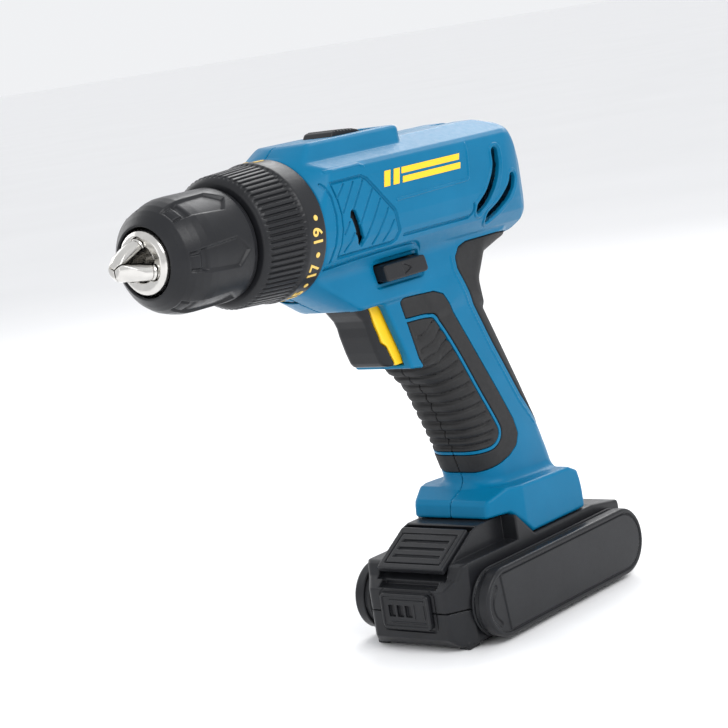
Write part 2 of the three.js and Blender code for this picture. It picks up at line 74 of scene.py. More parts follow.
MM = 0.001
GAP = 0.3  # between pieces that meet
AXIS_Z = 188.0  # height of the spindle
COLLAR_BACK = 111.5  # where the housing ends and the torque collar begins


# ---------------------------------------------------------------- flat outlines


def rounded(points, radius, steps=5):
    """The closed outline with its corners softened."""
    pts = [np.array(p[:2], float) for p in points]
    out = []
    for i, p in enumerate(pts):
        a, b = pts[i - 1] - p, pts[(i + 1) % len(pts)] - p
        la, lb = np.linalg.norm(a), np.linalg.norm(b)
        a, b = a / la, b / lb
        angle = math.acos(float(np.clip(a @ b, -1, 1)))
        if angle > 3.08 or radius <= 0:
            out.append(p)
            continue
        t = min(radius / math.tan(angle / 2), 0.46 * la, 0.46 * lb)
        for k in range(steps + 1):
            s = k / steps
            out.append((1 - s) ** 2 * (p + a * t) + 2 * s * (1 - s) * p + s * s * (p + b * t))
    return np.array(out)


def curve(points, steps=6):
    """A smooth open line through the points."""
    p = np.array(points, float)
    p = np.vstack([2 * p[0] - p[1], p, 2 * p[-1] - p[-2]])
    out = []
    for i in range(1, len(p) - 2):
        for k in range(steps):
            t = k / steps
            a, b, c, d = p[i - 1 : i + 3]
            out.append(
                0.5
                * (
                    2 * b
                    + (c - a) * t
                    + (2 * a - 5 * b + 4 * c - d) * t * t
                    + (3 * b - a - 3 * c + d) * t**3
                )
            )
    out.append(p[-2])
    return np.array(out)


class Table:
    """A distance in a plane, read from a fine grid."""

    def __init__(self, lo, hi, step, fill):
        self.lo, self.step = np.array(lo, float), step
        self.n = np.ceil((np.array(hi, float) - self.lo) / step).astype(int) + 1
        a = self.lo[0] + step * np.arange(self.n[0])
        b = self.lo[1] + step * np.arange(self.n[1])
        self.t = fill(*np.meshgrid(a, b, indexing="ij")).astype(np.float32)

    def __call__(self, a, b):
        u, v = (a - self.lo[0]) / self.step, (b - self.lo[1]) / self.step
        cu, cv = np.clip(u, 0, self.n[0] - 1.001), np.clip(v, 0, self.n[1] - 1.001)
        i, j = cu.astype(np.int32), cv.astype(np.int32)
        s, t, g = cu - i, cv - j, self.t
        low = g[i, j] * (1 - s) + g[i + 1, j] * s
        high = g[i, j + 1] * (1 - s) + g[i + 1, j + 1] * s
        return low * (1 - t) + high * t + np.hypot(u - cu, v - cv) * self.step


def line_distance(a, b, pts, closed):
    """Distance to a chain of straight lines, negative inside it if it is closed."""
    d = None
    inside = np.zeros(a.shape, bool)
    for i in range(0 if closed else 1, len(pts)):
        (ax, az), (bx, bz) = pts[i], pts[i - 1]
        ex, ez = bx - ax, bz - az
        t = np.clip(((a - ax) * ex + (b - az) * ez) / (ex * ex + ez * ez + 1e-12), 0, 1)
        dd = (a - ax - ex * t) ** 2 + (b - az - ez * t) ** 2
        d = dd if d is None else np.minimum(d, dd)
        if closed and az != bz:
            inside ^= ((az > b) != (bz > b)) & (a < ex * (b - az) / ez + ax)
    d = np.sqrt(d)
    return np.where(inside, -d, d) if closed else d


def area(points, radius=0.0, pad=12.0, step=0.4):
    """Signed distance to a closed outline, negative inside."""
    pts = rounded(points, radius)
    fill = lambda a, b: line_distance(a, b, pts, True)
    return Table(pts.min(0) - pad, pts.max(0) + pad, step, fill)


def lines(groups, pad=8.0, step=0.35):
    """Distance to the nearest of some open lines."""
    every = np.vstack(groups)

    def fill(a, b):
        return np.minimum.reduce([line_distance(a, b, g, False) for g in groups])

    return Table(every.min(0) - pad, every.max(0) + pad, step, fill)


# ---------------------------------------------------------------- joining fields


def both(a, b, r=0.0):
    """Where a and b overlap, with a rounded edge."""
    if np.isscalar(r) and r <= 0:
        return np.maximum(a, b)
    u, v = np.maximum(a + r, 0), np.maximum(b + r, 0)
    return np.minimum(np.maximum(a, b), -r) + np.sqrt(u * u + v * v)


def either(a, b, r=0.0):
    """a and b together, with a filleted seam."""
    if np.isscalar(r) and r <= 0:
        return np.minimum(a, b)
    u, v = np.maximum(r - a, 0), np.maximum(r - b, 0)
    return np.maximum(np.minimum(a, b), r) - np.sqrt(u * u + v * v)


def less(a, b, r=0.0):
    """a with b cut out of it."""
    return both(a, -b, r)


def slab(v, lo, hi):
    """Between two flat sides."""
    return np.maximum(lo - v, v - hi)


def block(x, y, z, lo, hi, r=0.0):
    a = both(slab(x, lo[0], hi[0]), slab(y, lo[1], hi[1]), r)
    return both(a, slab(z, lo[2], hi[2]), r)


# ---------------------------------------------------------------- meshing


def surface_net(field, lo, hi, h):
    """Quads round the places where the field, read on a grid of pitch h, changes sign."""
    axes = [np.arange(lo[i] - h, hi[i] + 1.5 * h, h, dtype=np.float32) for i in range(3)]
    grid = (axes[0][:, None, None], axes[1][None, :, None], axes[2][None, None, :])
    f = np.broadcast_to(field(*grid), [len(a) for a in axes]).astype(np.float32)
    inside = f < 0
    n = f.shape
    count = np.zeros([k - 1 for k in n], np.uint8)
    corners = [(i, j, k) for i in (0, 1) for j in (0, 1) for k in (0, 1)]
    for i, j, k in corners:
        count += inside[i : n[0] - 1 + i, j : n[1] - 1 + j, k : n[2] - 1 + k]
    cells = np.argwhere((count > 0) & (count < 8))
    index = np.full(count.shape, -1, np.int32)
    index[tuple(cells.T)] = np.arange(len(cells))
    total, hits = np.zeros((len(cells), 3)), np.zeros(len(cells))
    for c in corners:
        for axis in range(3):
            if c[axis]:
                continue
            d = list(c)
            d[axis] = 1
            fa = f[tuple((cells + c).T)]
            fb = f[tuple((cells + d).T)]
            m = (fa < 0) != (fb < 0)
            t = fa[m] / (fa[m] - fb[m])
            p = np.tile(np.array(c, float), (m.sum(), 1))
            p[:, axis] = t
            total[m] += p
            hits[m] += 1
    start = np.array([a[0] for a in axes])
    verts = start + h * (cells + total / hits[:, None])
    faces = []
    for axis in range(3):
        u, v = (axis + 1) % 3, (axis + 2) % 3
        a = [slice(None)] * 3
        b = [slice(None)] * 3
        a[axis], b[axis] = slice(0, n[axis] - 1), slice(1, n[axis])
        for w in (u, v):
            a[w] = b[w] = slice(1, n[w] - 1)
        sa, sb = inside[tuple(a)], inside[tuple(b)]
        at = np.argwhere(sa != sb)
        out = sa[tuple(at.T)]
        at[:, u] += 1
        at[:, v] += 1
        quad = []
        for du, dv in ((-1, -1), (0, -1), (0, 0), (-1, 0)):
            q = at.copy()
            q[:, u] += du
            q[:, v] += dv
            quad.append(index[tuple(q.T)])
        quad = np.stack(quad, 1)
        quad[~out] = quad[~out][:, ::-1]
        faces.append(quad)
    return verts, np.vstack(faces)


KEYS = np.array([(1, -1, -1), (-1, -1, 1), (-1, 1, -1), (1, 1, 1)], float)


def settle(field, p, rounds=2, e=0.06):
    """Points moved onto the surface, and the surface's directions there."""
    p = p.copy()
    for k in range(rounds + 1):
        f = [field(*(p + e * q).T) for q in KEYS]
        g = sum(q[None, :] * v[:, None] for q, v in zip(KEYS, f)) / (4 * e)
        size = np.maximum((g * g).sum(1), 0.2)
        if k < rounds:
            move = g * (np.clip(sum(f) / 4, -0.5, 0.5) / size)[:, None]
            p -= np.clip(move, -0.3, 0.3)
    return p, g / np.sqrt((g * g).sum(1))[:, None]


def refine(verts, faces, near, rounds):
    """Splits the faces whose points near() picks, once a round, so that fine detail has room."""
    mesh = bpy.data.meshes.new("work")
    mesh.from_pydata(np.asarray(verts).tolist(), [], np.asarray(faces).tolist())
    bm = bmesh.new()
    bm.from_mesh(mesh)
    bpy.data.meshes.remove(mesh)
    for k in range(rounds):
        co = np.array([v.co[:] for v in bm.verts])
        flag = near(*co.T, k)
        bm.verts.index_update()
        edges = [e for e in bm.edges if flag[e.verts[0].index] and flag[e.verts[1].index]]
        bmesh.ops.subdivide_edges(bm, edges=edges, cuts=1, use_grid_fill=True)
    bm.verts.index_update()
    verts = np.array([v.co[:] for v in bm.verts])
    faces = [[v.index for v in f.verts] for f in bm.faces]
    bm.free()
    return verts, faces


def as_object(name, verts, faces, normals=None, soft=True):
    mesh = bpy.data.meshes.new(name)
    faces = faces.tolist() if isinstance(faces, np.ndarray) else faces
    mesh.from_pydata((np.asarray(verts) * MM).tolist(), [], faces)
    mesh.update()
    mesh.polygons.foreach_set("use_smooth", [soft] * len(mesh.polygons))
    if normals is not None:
        mesh.normals_split_custom_set_from_vertices(normals.tolist())
    obj = bpy.data.objects.new(name, mesh)
    bpy.context.scene.collection.objects.link(obj)
    return obj


def solid(name, field, lo, hi, h, mirror=False, near=None, rounds=0):
    """A piece from a field. With mirror, the field's +Y side is built on the -Y side."""
    verts, faces = surface_net(field, lo, hi, h)
    if rounds:
        verts, _ = settle(field, verts, 1)
        verts, faces = refine(verts, faces, near, rounds)
    verts, normals = settle(field, verts)
    if mirror:
        verts = verts * (1, -1, 1)
        normals = normals * (1, -1, 1)
        faces = [f[::-1] for f in faces] if isinstance(faces, list) else faces[:, ::-1]
    return as_object(name, verts, faces, normals)


def turned(name, profile, count, shape):
    """A ring turned about the spindle axis. profile is a closed loop of (x, r), counterclockwise
    with x to the right. shape(x, r, angle) gives the radius to use."""
    prof = np.array(profile, float)
    ang = np.arange(count) * 2 * math.pi / count
    x = np.repeat(prof[:, :1], count, 1)
    r = np.repeat(prof[:, 1:], count, 1)
    r = shape(x, r, np.repeat(ang[None, :], len(prof), 0))
    verts = np.stack([x, r * np.cos(ang), AXIS_Z + r * np.sin(ang)], 2).reshape(-1, 3)
    i, j = np.meshgrid(np.arange(len(prof)), np.arange(count), indexing="ij")
    i2, j2 = (i + 1) % len(prof), (j + 1) % count
    quads = np.stack([i * count + j, i2 * count + j, i2 * count + j2, i * count + j2], 2)
    return as_object(name, verts, quads.reshape(-1, 4))


def dense(points, step):
    """The loop with long sides split, so that a shape can be pressed into it."""
    pts = [np.array(p, float) for p in points]
    out = []
    for i, p in enumerate(pts):
        q = pts[(i + 1) % len(pts)]
        n = max(1, int(np.linalg.norm(q - p) / step))
        out += [p + (q - p) * k / n for k in range(n)]
    return np.array(out)


def smooth(v, lo, hi):
    """0 before lo, 1 after hi, and an even curve between them."""
    t = np.clip((v - lo) / (hi - lo), 0, 1)
    return t * t * (3 - 2 * t)


# ---------------------------------------------------------------- finishes


def shade(name, build):
    mat = bpy.data.materials.new(name)
    mat.use_nodes = True
    nt = mat.node_tree
    bsdf = nt.nodes["Principled BSDF"]
    build(nt, bsdf)
    return mat


def node(nt, kind, **values):
    n = nt.nodes.new(kind)
    for k, v in values.items():
        if k in n.inputs:
            n.inputs[k].default_value = v
        else:
            setattr(n, k, v)
    return n


def noise(nt, scale, detail=3.0, rough=0.55, stretch=None):
    coord = nt.nodes.new("ShaderNodeTexCoord")
    n = node(nt, "ShaderNodeTexNoise", Scale=scale, Detail=detail, Roughness=rough)
    place = coord.outputs["Object"]
    if stretch:
        mapping = node(nt, "ShaderNodeMapping", Scale=stretch)
        nt.links.new(place, mapping.inputs["Vector"])
        place = mapping.outputs["Vector"]
    nt.links.new(place, n.inputs["Vector"])
    return n


def ramp(nt, source, stops):
    r = nt.nodes.new("ShaderNodeValToRGB")
    while len(r.color_ramp.elements) < len(stops):
        r.color_ramp.elements.new(0.5)
    for e, (at, v) in zip(r.color_ramp.elements, stops):
        e.position = at
        e.color = v if len(v) == 4 else (*v, 1)
    nt.links.new(source, r.inputs["Fac"])
    return r


def roughen(nt, bsdf, source, low, high):
    """Roughness that follows the source between two (place, roughness) stops."""
    r = ramp(nt, source, [(at, (value,) * 3) for at, value in (low, high)])
    nt.links.new(r.outputs["Color"], bsdf.inputs["Roughness"])


def emboss(nt, bsdf, source, strength, distance):
    b = node(nt, "ShaderNodeBump", Strength=strength, Distance=distance)
    nt.links.new(source, b.inputs["Height"])
    nt.links.new(b.outputs["Normal"], bsdf.inputs["Normal"])


def linear(rgb):
    """A colour given in 0 to 255 steps, as the shader wants it."""
    return tuple(((c / 255 + 0.055) / 1.055) ** 2.4 if c > 10 else c / 255 / 12.92 for c in rgb)


def plastic(name, rgb, rough, grain=2600.0, bump=0.25, wear=0.25, spread=0.06, coat=0.0, spec=0.5):
    """Moulded plastic: spark-eroded grain, faint cloudiness, scuffs and rubbed edges."""

    def build(nt, bsdf):
        base = linear(rgb)
        fine = noise(nt, grain, 2.0)
        soft = noise(nt, 55.0, 4.0)
        dark = tuple(c * (1 - spread) for c in base)
        light = tuple(min(1, c * (1 + spread) + 0.002) for c in base)
        cloud = ramp(nt, soft.outputs["Fac"], [(0.3, dark), (0.7, light)])
        point = nt.nodes.new("ShaderNodeNewGeometry")
        edge = ramp(nt, point.outputs["Pointiness"], [(0.51, (0, 0, 0)), (0.6, (1, 1, 1))])
        worn = tuple(min(1, c * 1.35 + 0.012) for c in base)
        mix = node(nt, "ShaderNodeMix", data_type="RGBA")
        amount = node(nt, "ShaderNodeMath", operation="MULTIPLY")
        amount.inputs[1].default_value = wear
        nt.links.new(edge.outputs["Color"], amount.inputs[0])
        nt.links.new(amount.outputs[0], mix.inputs["Factor"])
        nt.links.new(cloud.outputs["Color"], mix.inputs["A"])
        mix.inputs["B"].default_value = (*worn, 1)
        nt.links.new(mix.outputs["Result"], bsdf.inputs["Base Color"])
        scuff = noise(nt, 420.0, 6.0, 0.7)
        roughen(nt, bsdf, scuff.outputs["Fac"], (0.3, rough - 0.05), (0.75, min(1, rough + 0.09)))
        emboss(nt, bsdf, fine.outputs["Fac"], bump, 0.00012)
        bsdf.inputs["Specular IOR Level"].default_value = spec
        bsdf.inputs["Coat Weight"].default_value = coat
        bsdf.inputs["Coat Roughness"].default_value = 0.25

    return shade(name, build)


def metal(name, rgb, rough, stretch=(40, 3000, 3000), bump=0.12):
    """Machined metal with fine turning marks and dull patches."""

    def build(nt, bsdf):
        base = linear(rgb)
        marks = noise(nt, 1.0, 3.0, 0.6, stretch)
        patch = noise(nt, 160.0, 5.0)
        dull = tuple(v * 0.88 for v in base)
        c = ramp(nt, patch.outputs["Fac"], [(0.3, dull), (0.7, base)])
        nt.links.new(c.outputs["Color"], bsdf.inputs["Base Color"])
        roughen(nt, bsdf, marks.outputs["Fac"], (0.25, rough), (0.8, rough + 0.12))
        emboss(nt, bsdf, marks.outputs["Fac"], bump, 0.00005)
        bsdf.inputs["Metallic"].default_value = 1.0

    return shade(name, build)


LOOKS = {
    "housing_blue": plastic("housing_blue", (0, 104, 144), 0.33, 2400, 0.2, 0.25, 0.04, 0.0, 0.14),
    "black_plastic": plastic("black_plastic", (27, 28, 31), 0.34, 2200, 0.26, 0.2, 0.1, 0.0, 0.26),
    "soft_rubber": plastic("soft_rubber", (33, 33, 34), 0.62, 3200, 0.4, 0.12, 0.1, 0.0, 0.32),
    "yellow_plastic": plastic("yellow_plastic", (252, 200, 24), 0.38, 2400, 0.2, 0.15, 0.03),
    "cream_marks": plastic("cream_marks", (226, 190, 96), 0.5, 2800, 0.2, 0.05, 0.03),
    "steel": metal("steel", (214, 212, 208), 0.13, bump=0.05),
    "dark_steel": metal("dark_steel", (92, 92, 94), 0.34),
    "copper": metal("copper", (190, 106, 62), 0.3, (3000, 200, 200), 0.3),
    "cell_wrap": plastic("cell_wrap", (46, 92, 60), 0.3, 1500, 0.1, 0.1, 0.05, 0.3),
}


def finish_piece(obj, look, body, *nodes):
    """Gives a piece its finish, its body and the CAD nodes that it stands for."""
    obj.data.materials.clear()
    obj.data.materials.append(LOOKS[look])
    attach(obj, body)
    if nodes:
        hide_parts(*nodes)
    return obj


# ---------------------------------------------------------------- housing

BARREL_SIDE = area(
    [
        (125, 130), (125, 236), (2, 236), (-4, 217.5), (-12, 214.2), (-20.5, 210.8), (-27.6, 205.6),
        (-33.6, 198.4), (-37, 190.6), (-38, 184), (-36.8, 176.6), (-32.6, 169.5), (-26, 164),
        (-19, 160.4), (4, 150), (4, 130),
    ],
    5,
)
BARREL_SECTION = area(
    [
        (-30, 161), (6, 161.5), (13, 164), (19, 168.2), (23.6, 173.3), (26.2, 179), (27, 185),
        (27, 203.6), (26, 207.2), (24.2, 209), (12.5, 214.5), (-30, 214.5),
    ],
    1.5,
)
BARREL_PLAN = area(
    [
        (140, -40), (140, 50), (4, 50), (-4, 31), (-11, 28), (-20, 25.2), (-28.2, 20.4), (-34.2, 13.4),
        (-37.2, 6.6), (-38, 0), (-38, -40),
    ],
    5,
)
HUMP_SIDE = area(
    [
        (118, 200), (118, 215), (112, 215.2), (109.5, 216), (106.5, 218.8), (103.5, 221), (100, 230),
        (52, 230), (46.5, 221.2), (42.5, 218.4), (40.2, 214.5), (39.6, 210), (39.6, 200),
    ],
    1.2,
)
HUMP_SECTION = area(
    [(-30, 200), (-30, 219.5), (13.4, 219.5), (14.6, 218.2), (17.4, 212.6), (18.2, 208), (18.4, 200)],
    0.8,
)
HUMP_PLAN = area(
    [(130, -40), (130, 26), (54, 26), (49, 19), (43.5, 14.5), (40.4, 9), (39.6, 0), (39.6, -40)], 3
)
NECK_SIDE = area(
    [
        (113, 172), (113, 161.8), (111.5, 161.0), (100, 154.6), (92, 150.6), (87, 149.5), (47, 149.5),
        (40, 137), (0, 134), (1.5, 147), (-4, 156.6), (-20, 161.4), (-20, 172),
    ],
    2.5,
)
GRIP_SIDE = area(
    [
        (72, 158), (69, 149), (58, 121.5), (50, 119), (45, 113), (37, 106.5), (33, 99.5), (27, 86.5),
        (22, 74.5), (18.5, 64), (17.5, 56), (17, 44), (-34, 44), (-34, 55), (-31, 66.5), (-26, 81.5),
        (-18, 99.5), (-10, 116.5), (0, 137.5), (2, 147), (-4, 158),
    ],
    6,
)
GUARD_SIDE = area(
    [
        (40, 117.2), (47, 118), (54, 119.2), (58.6, 119.9), (59.2, 121.5), (60.2, 126), (69, 147.4),
        (71, 149.8), (76, 158), (40, 158),
    ],
    1.0,
)
FOOT_SIDE = area(
    [
        (30.5, 47.5), (29.4, 53), (28, 55), (19, 58.6), (-24, 57), (-30, 54), (-35, 36.5), (8, 36.5),
        (19, 47.5),
    ],
    1.2,
)
FOOT_PLAN = area([(31, -40), (31, 19.2), (12, 27), (-31, 27), (-36, 22), (-36, -40)], 2.0)
LEAN = math.radians(24)


def body_field(x, y, z):
    """The housing's outside, before its details."""
    a = np.abs(y)
    dome = both(BARREL_SIDE(x, z), BARREL_PLAN(x, a), 9.0)
    barrel = both(dome, BARREL_SECTION(a, z), 1.2)
    hump = both(both(HUMP_SIDE(x, z), HUMP_SECTION(a, z), 0.8), HUMP_PLAN(x, a), 0.8)
    neck = both(NECK_SIDE(x, z), a - 17.3, 2.0 + 8.0 * np.clip((42 - x) / 22, 0, 1))
    top = either(either(barrel, neck, 2.5), hump, 0.6)
    reach = np.sqrt(y * y + (z - AXIS_Z) ** 2) - (27.4 + 0.55 * (COLLAR_BACK - x))
    top = both(both(top, reach, 1.0), x - COLLAR_BACK, 0.7)
    u = (x - 11) * math.cos(LEAN) - (z - 102) * math.sin(LEAN)
    grip = both(GRIP_SIDE(x, z), a - 17 + 0.0042 * u * u, 10.0)
    guard = both(GUARD_SIDE(x, z), a - 15.5, 1.2)
    foot = both(FOOT_SIDE(x, z), FOOT_PLAN(x, a), 1.6)
    return either(either(either(top, guard, 1.5), grip, 2.0), foot, 4.0)


PATCH = area(
    [
        (60.3, 149.4), (40, 148.6), (34, 146.4), (31, 142), (17.8, 119.2), (5.5, 97.8), (-1.9, 84.1),
        (-3.8, 77.2), (-1.5, 72.6), (4, 69.4), (18, 65.2), (70, 65.2), (70, 112), (50, 118.4),
        (53.1, 123.2), (57.5, 140),
    ],
    2.5,
)
PAD_LINE = lines(
    [
        curve(
            [
                (57.6, 139.9), (44.1, 139.2), (39.0, 136.2), (29.7, 121.8), (18.7, 101.6), (10.4, 86.7),
                (8.4, 81.2), (10.6, 77.0), (17.0, 74.6), (30, 74.2), (50, 74.2),
            ]
        )
    ]
)
PAD = area(
    [
        (70, 74.2), (17, 74.6), (10.6, 77), (8.4, 81.2), (10.4, 86.7), (18.7, 101.6), (29.7, 121.8),
        (39, 136.2), (44.1, 139.2), (57.6, 139.9), (53.1, 123.2), (50, 118), (70, 118),
    ],
    1.5,
)
STRAP = area(
    [
        (-9, 164.9), (13, 164.9), (18.5, 163.4), (21.6, 159.8), (21.2, 155.4), (14.9, 142.6),
        (3.4, 119.4), (-11.4, 92.9), (-23.6, 77.0), (-34, 70), (-60, 60), (-60, 150), (-30, 158),
        (-22, 164),
    ],
    2.0,
)
RIBS = lines(
    [
        np.array(g, float)
        for g in (
            [(41.6, 136.2), (46.5, 132.6), (51.5, 131.4)],
            [(37.6, 131.6), (43.2, 127.4), (50.5, 125.6)],
            [(34.6, 126.6), (41.2, 122.8), (51.5, 120.6)],
            [(32.2, 121.4), (40.2, 118.2), (60, 116.0)],
            [(29.8, 116.2), (38.4, 113.4), (60, 111.6)],
            [(27.2, 111.0), (36.6, 108.4), (60, 106.6)],
            [(24.4, 105.8), (34.4, 103.4), (60, 101.8)],
            [(21.6, 100.8), (32.2, 98.6), (60, 97.0)],
            [(18.8, 95.8), (29.8, 93.9), (60, 92.4)],
            [(16.2, 91.0), (27.2, 89.3), (60, 88.0)],
            [(14.0, 86.4), (24.8, 84.9), (60, 83.8)],
            [(13.0, 82.0), (22.6, 80.9), (60, 79.8)],
            [(15.0, 78.2), (22.0, 77.4), (60, 76.8)],
        )
    ],
    pad=5,
)

PAD_EDGE = [
    (104.2, 203.2), (85.4, 203.4), (82.0, 201.6), (67.6, 186.9), (65.3, 178.2), (66.6, 175.2),
    (69.6, 174.2),
]
SIDE_GROOVES = lines(
    [
        np.array(g, float)
        for g in (
            PAD_EDGE + [(103.2, 174.0)],
            [(104.2, 203.2), (101.2, 196.0), (100.1, 190.4), (100.6, 184.0), (103.2, 174.0)],
            [(108.0, 203.4), (105.0, 197.6), (103.7, 190.6), (104.6, 183.6), (107.6, 173.2)],
            [(62.0, 176.0), (18.4, 175.9), (15.8, 177.2), (15.2, 180.8)],
        )
    ]
)
DIAGONALS = lines(
    [
        np.array(g, float)
        for g in (
            [(96.4, 201.6), (100.6, 197.4)],
            [(90.4, 201.6), (98.6, 191.0)],
            [(84.6, 201.2), (94.4, 188.6)],
            [(79.6, 197.0), (92.0, 181.6)],
            [(75.4, 192.6), (88.6, 176.2)],
            [(71.4, 188.2), (81.6, 175.8)],
            [(68.6, 182.8), (74.6, 175.8)],
            [(95.8, 186.6), (99.2, 182.6)],
            [(93.4, 181.8), (98.8, 175.8)],
        )
    ]
)
PAD_AREA = area(PAD_EDGE + [(103.2, 174.0), (100.6, 184.0), (100.1, 190.4), (101.2, 196.0)], 1.0)
SIDE_RIBS = lines(
    [
        np.array(g, float)
        for g in (
            [(65.6, 190.8), (18.2, 191.6), (17.0, 192.6), (16.2, 199.0), (15.6, 206.4)],
            [(104.0, 208.0), (84.4, 208.2), (82.2, 207.0)],
        )
    ]
)
BELT = lines(
    [
        curve(
            [
                (109.5, 170.6), (84, 171.6), (61, 171.8), (52.0, 171.2), (47.0, 168.0), (44.2, 162.6),
                (40.6, 155.6),
            ]
        )
    ]
)
VENTS = lines(
    [
        curve([(-3.4, 200.0), (-3.2, 194.8), (-0.5, 189.0), (4.8, 182.9), (10.8, 178.4)]),
        curve([(-13.9, 187.6), (-12.0, 184.4), (-6.4, 179.2), (2.4, 173.6)]),
    ]
)
SLIT = lines([np.array([(92.6, 189.4), (89.0, 178.4)])])
SELECTOR_HOLE = area([(74.6, 166.1), (46.6, 166.1), (44.4, 157.9), (72.4, 157.9)], 0.6)
SELECTOR_DISH = area([(77.0, 168.0), (47.4, 168.0), (43.2, 156.2), (74.6, 156.2)], 1.6)
TOP_DISH = area([(-12, -30), (-12, 2.2), (-9.5, 3.6), (-1.5, 3.6), (1.5, 2.2), (1.5, -30)], 1.5)
SCREWS = [(103, 160.5, 17.6), (-24, 172, 22.4), (-14, 62, 17), (34, 156, 17.5)]


WALL, NECK_EXTRA_WALL = 2.5, 2.4
FOOT_BOTTOM = 36.5
SCREW_HOLE_R = 3.4


def pressed(d, width, depth, soft=0.28):
    """How far the surface is pressed in by a groove along a line."""
    return depth * (1 - smooth(d, width - soft, width + soft))


def housing_field(screws):
    """The +Y half of the housing, with holes for the screws."""

    def field(x, y, z):
        a = np.abs(y)
        body = body_field(x, y, z)
        vent = VENTS(x, z)
        dips = pressed(PAD_AREA(x, z), 0.0, 0.5)
        grooves = pressed(SIDE_GROOVES(x, z), 0.55, 0.8)
        dips = dips + np.maximum(grooves, pressed(DIAGONALS(x, z), 0.5, 0.75))
        dips = dips - pressed(SIDE_RIBS(x, z), 0.5, 0.45)
        dips = dips + pressed(BELT(x, z), 0.55, 0.8)
        dips = dips - pressed(np.abs(vent - 3.6), 0.55, 0.5)
        dips = dips * smooth(a, 17.5, 19.5) * smooth(z, 153, 155)
        dish = pressed(SELECTOR_DISH(x, z), 0.0, 1.2, 0.5) * smooth(a, 12, 14)
        beside = pressed(np.abs(STRAP(x, z) - 3.2), 0.5, 0.4) * smooth(a, 7, 10)
        dish = dish - beside * smooth(z, 74, 80) * (1 - smooth(z, 158, 162))
        top_dish = pressed(TOP_DISH(x, a), 0.0, 2.2, 0.5) * smooth(z, 208, 210)
        f = body + dips + dish + top_dish
        f = less(f, vent - 2.35, 0.6)
        f = less(f, SLIT(x, z) - 1.8, 0.7)
        # room for the rubbers, less the thin line of housing that shows round the inner pad
        room = np.maximum(np.minimum(PATCH(x, z), STRAP(x, z)) - GAP, -(body + 2.3))
        rib = PAD_LINE(x, z) - 0.7
        f = less(f, np.maximum(room, -rib), 0.2)
        # hollow inside, the walls thicker below the barrel
        wall = WALL + NECK_EXTRA_WALL * np.clip((169 - z) / 6, 0, 1)
        guard = block(x, a, z, (45.5, -1, 112), (84, 16, 151.6))
        inside = np.maximum(np.maximum(body + wall, -guard), z - 212.4)
        f = np.maximum(f, -inside)
        # openings for the trigger, the direction selector and the gear switch
        f = less(f, block(x, a, z, (47.5, -20, 121.8), (95, 11.4, 149.8)), 0.5)
        f = less(f, np.maximum(SELECTOR_HOLE(x, z), 10 - a), 0.4)
        f = less(f, block(x, a, z, (49, -20, 204), (77, 4.2, 230)), 0.3)
        f = less(f, block(x, a, z, (48.6, -20, 217), (78.4, 8.4, 230)), 0.5)
        # the battery's socket, the room for its contacts, the foot's flat underside and the screw holes
        socket = block(x, a, z, (-31.5, -20, 20), (31, 19.2, 47.3))
        contacts = block(x, a, z, (-29.4, -20, 40), (14, 16, 51.8))
        contacts = np.maximum(contacts, (a - x - 43.8) * 0.7)
        f = np.maximum(f, -np.minimum(socket, contacts))
        f = np.maximum(f, FOOT_BOTTOM - z)
        for sx, sz, _ in screws:
            hole = np.sqrt((x - sx) ** 2 + (z - sz) ** 2) - SCREW_HOLE_R
            f = less(f, hole, 0.3)
        return both(f, GAP / 2 - y, 0.25)

    return field


def housing_detail(x, y, z, k):
    """Where the housing's outside needs smaller faces."""
    reach = (1.9, 1.1)[k]
    side = np.minimum(SIDE_GROOVES(x, z), DIAGONALS(x, z))
    side = np.minimum(np.minimum(side, SIDE_RIBS(x, z)), BELT(x, z))
    side = np.minimum(side, np.abs(PAD_AREA(x, z)))
    vent = VENTS(x, z)
    cuts = np.minimum(np.abs(vent - 3.0) - 0.9, np.abs(SLIT(x, z) - 1.8))
    cuts = np.minimum(cuts, np.abs(SELECTOR_HOLE(x, z)))
    soft = np.minimum(np.abs(PATCH(x, z)), np.abs(STRAP(x, z)))
    soft = np.minimum(soft, PAD_LINE(x, z))
    outside = body_field(x, y, z) > -2.0
    return outside & ((np.minimum(side, cuts) < reach) & (y > 14) | (soft < reach * 0.8) & (z < 167))


BOX = ((-39, 0, 35), (113, 28.5, 221))
o = solid("housing_shell_left", housing_field([]), *BOX, 0.75, False, housing_detail, 2)
finish_piece(o, "housing_blue", "root", "housing_left")
o = solid("housing_shell_right", housing_field(SCREWS), *BOX, 0.75, True, housing_detail, 2)
finish_piece(o, "housing_blue", "root", "housing_right")


def grip_rubber(x, y, z):
    body = body_field(x, y, z)
    d = RIBS(x, z)
    groove = 1.25 * np.exp(-((d / 0.95) ** 2))
    inner = np.clip(-PAD(x, z) / 1.5, 0, 1)
    face = body - 0.25 + groove * inner + 0.25 * inner
    f = both(PATCH(x, z), face, 0.7)
    f = less(f, PAD_LINE(x, z) - 1.05, 0.45)
    f = np.maximum(f, -(body + 2.0))
    return both(f, GAP / 2 - y, 0.25)


def grip_detail(x, y, z, k):
    edges = np.minimum(np.abs(PATCH(x, z)), np.abs(PAD_LINE(x, z) - 1.05))
    return (body_field(x, y, z) > -1.7) & (np.minimum(edges, RIBS(x, z) - 0.8) < 1.0)


def strap_rubber(x, y, z):
    body = body_field(x, y, z)
    f = both(STRAP(x, z), body - 0.2, 0.7)
    f = np.maximum(f, -(body + 2.0))
    return both(f, GAP / 2 - y, 0.25)


def strap_detail(x, y, z, k):
    return np.abs(STRAP(x, z)) < 1.0


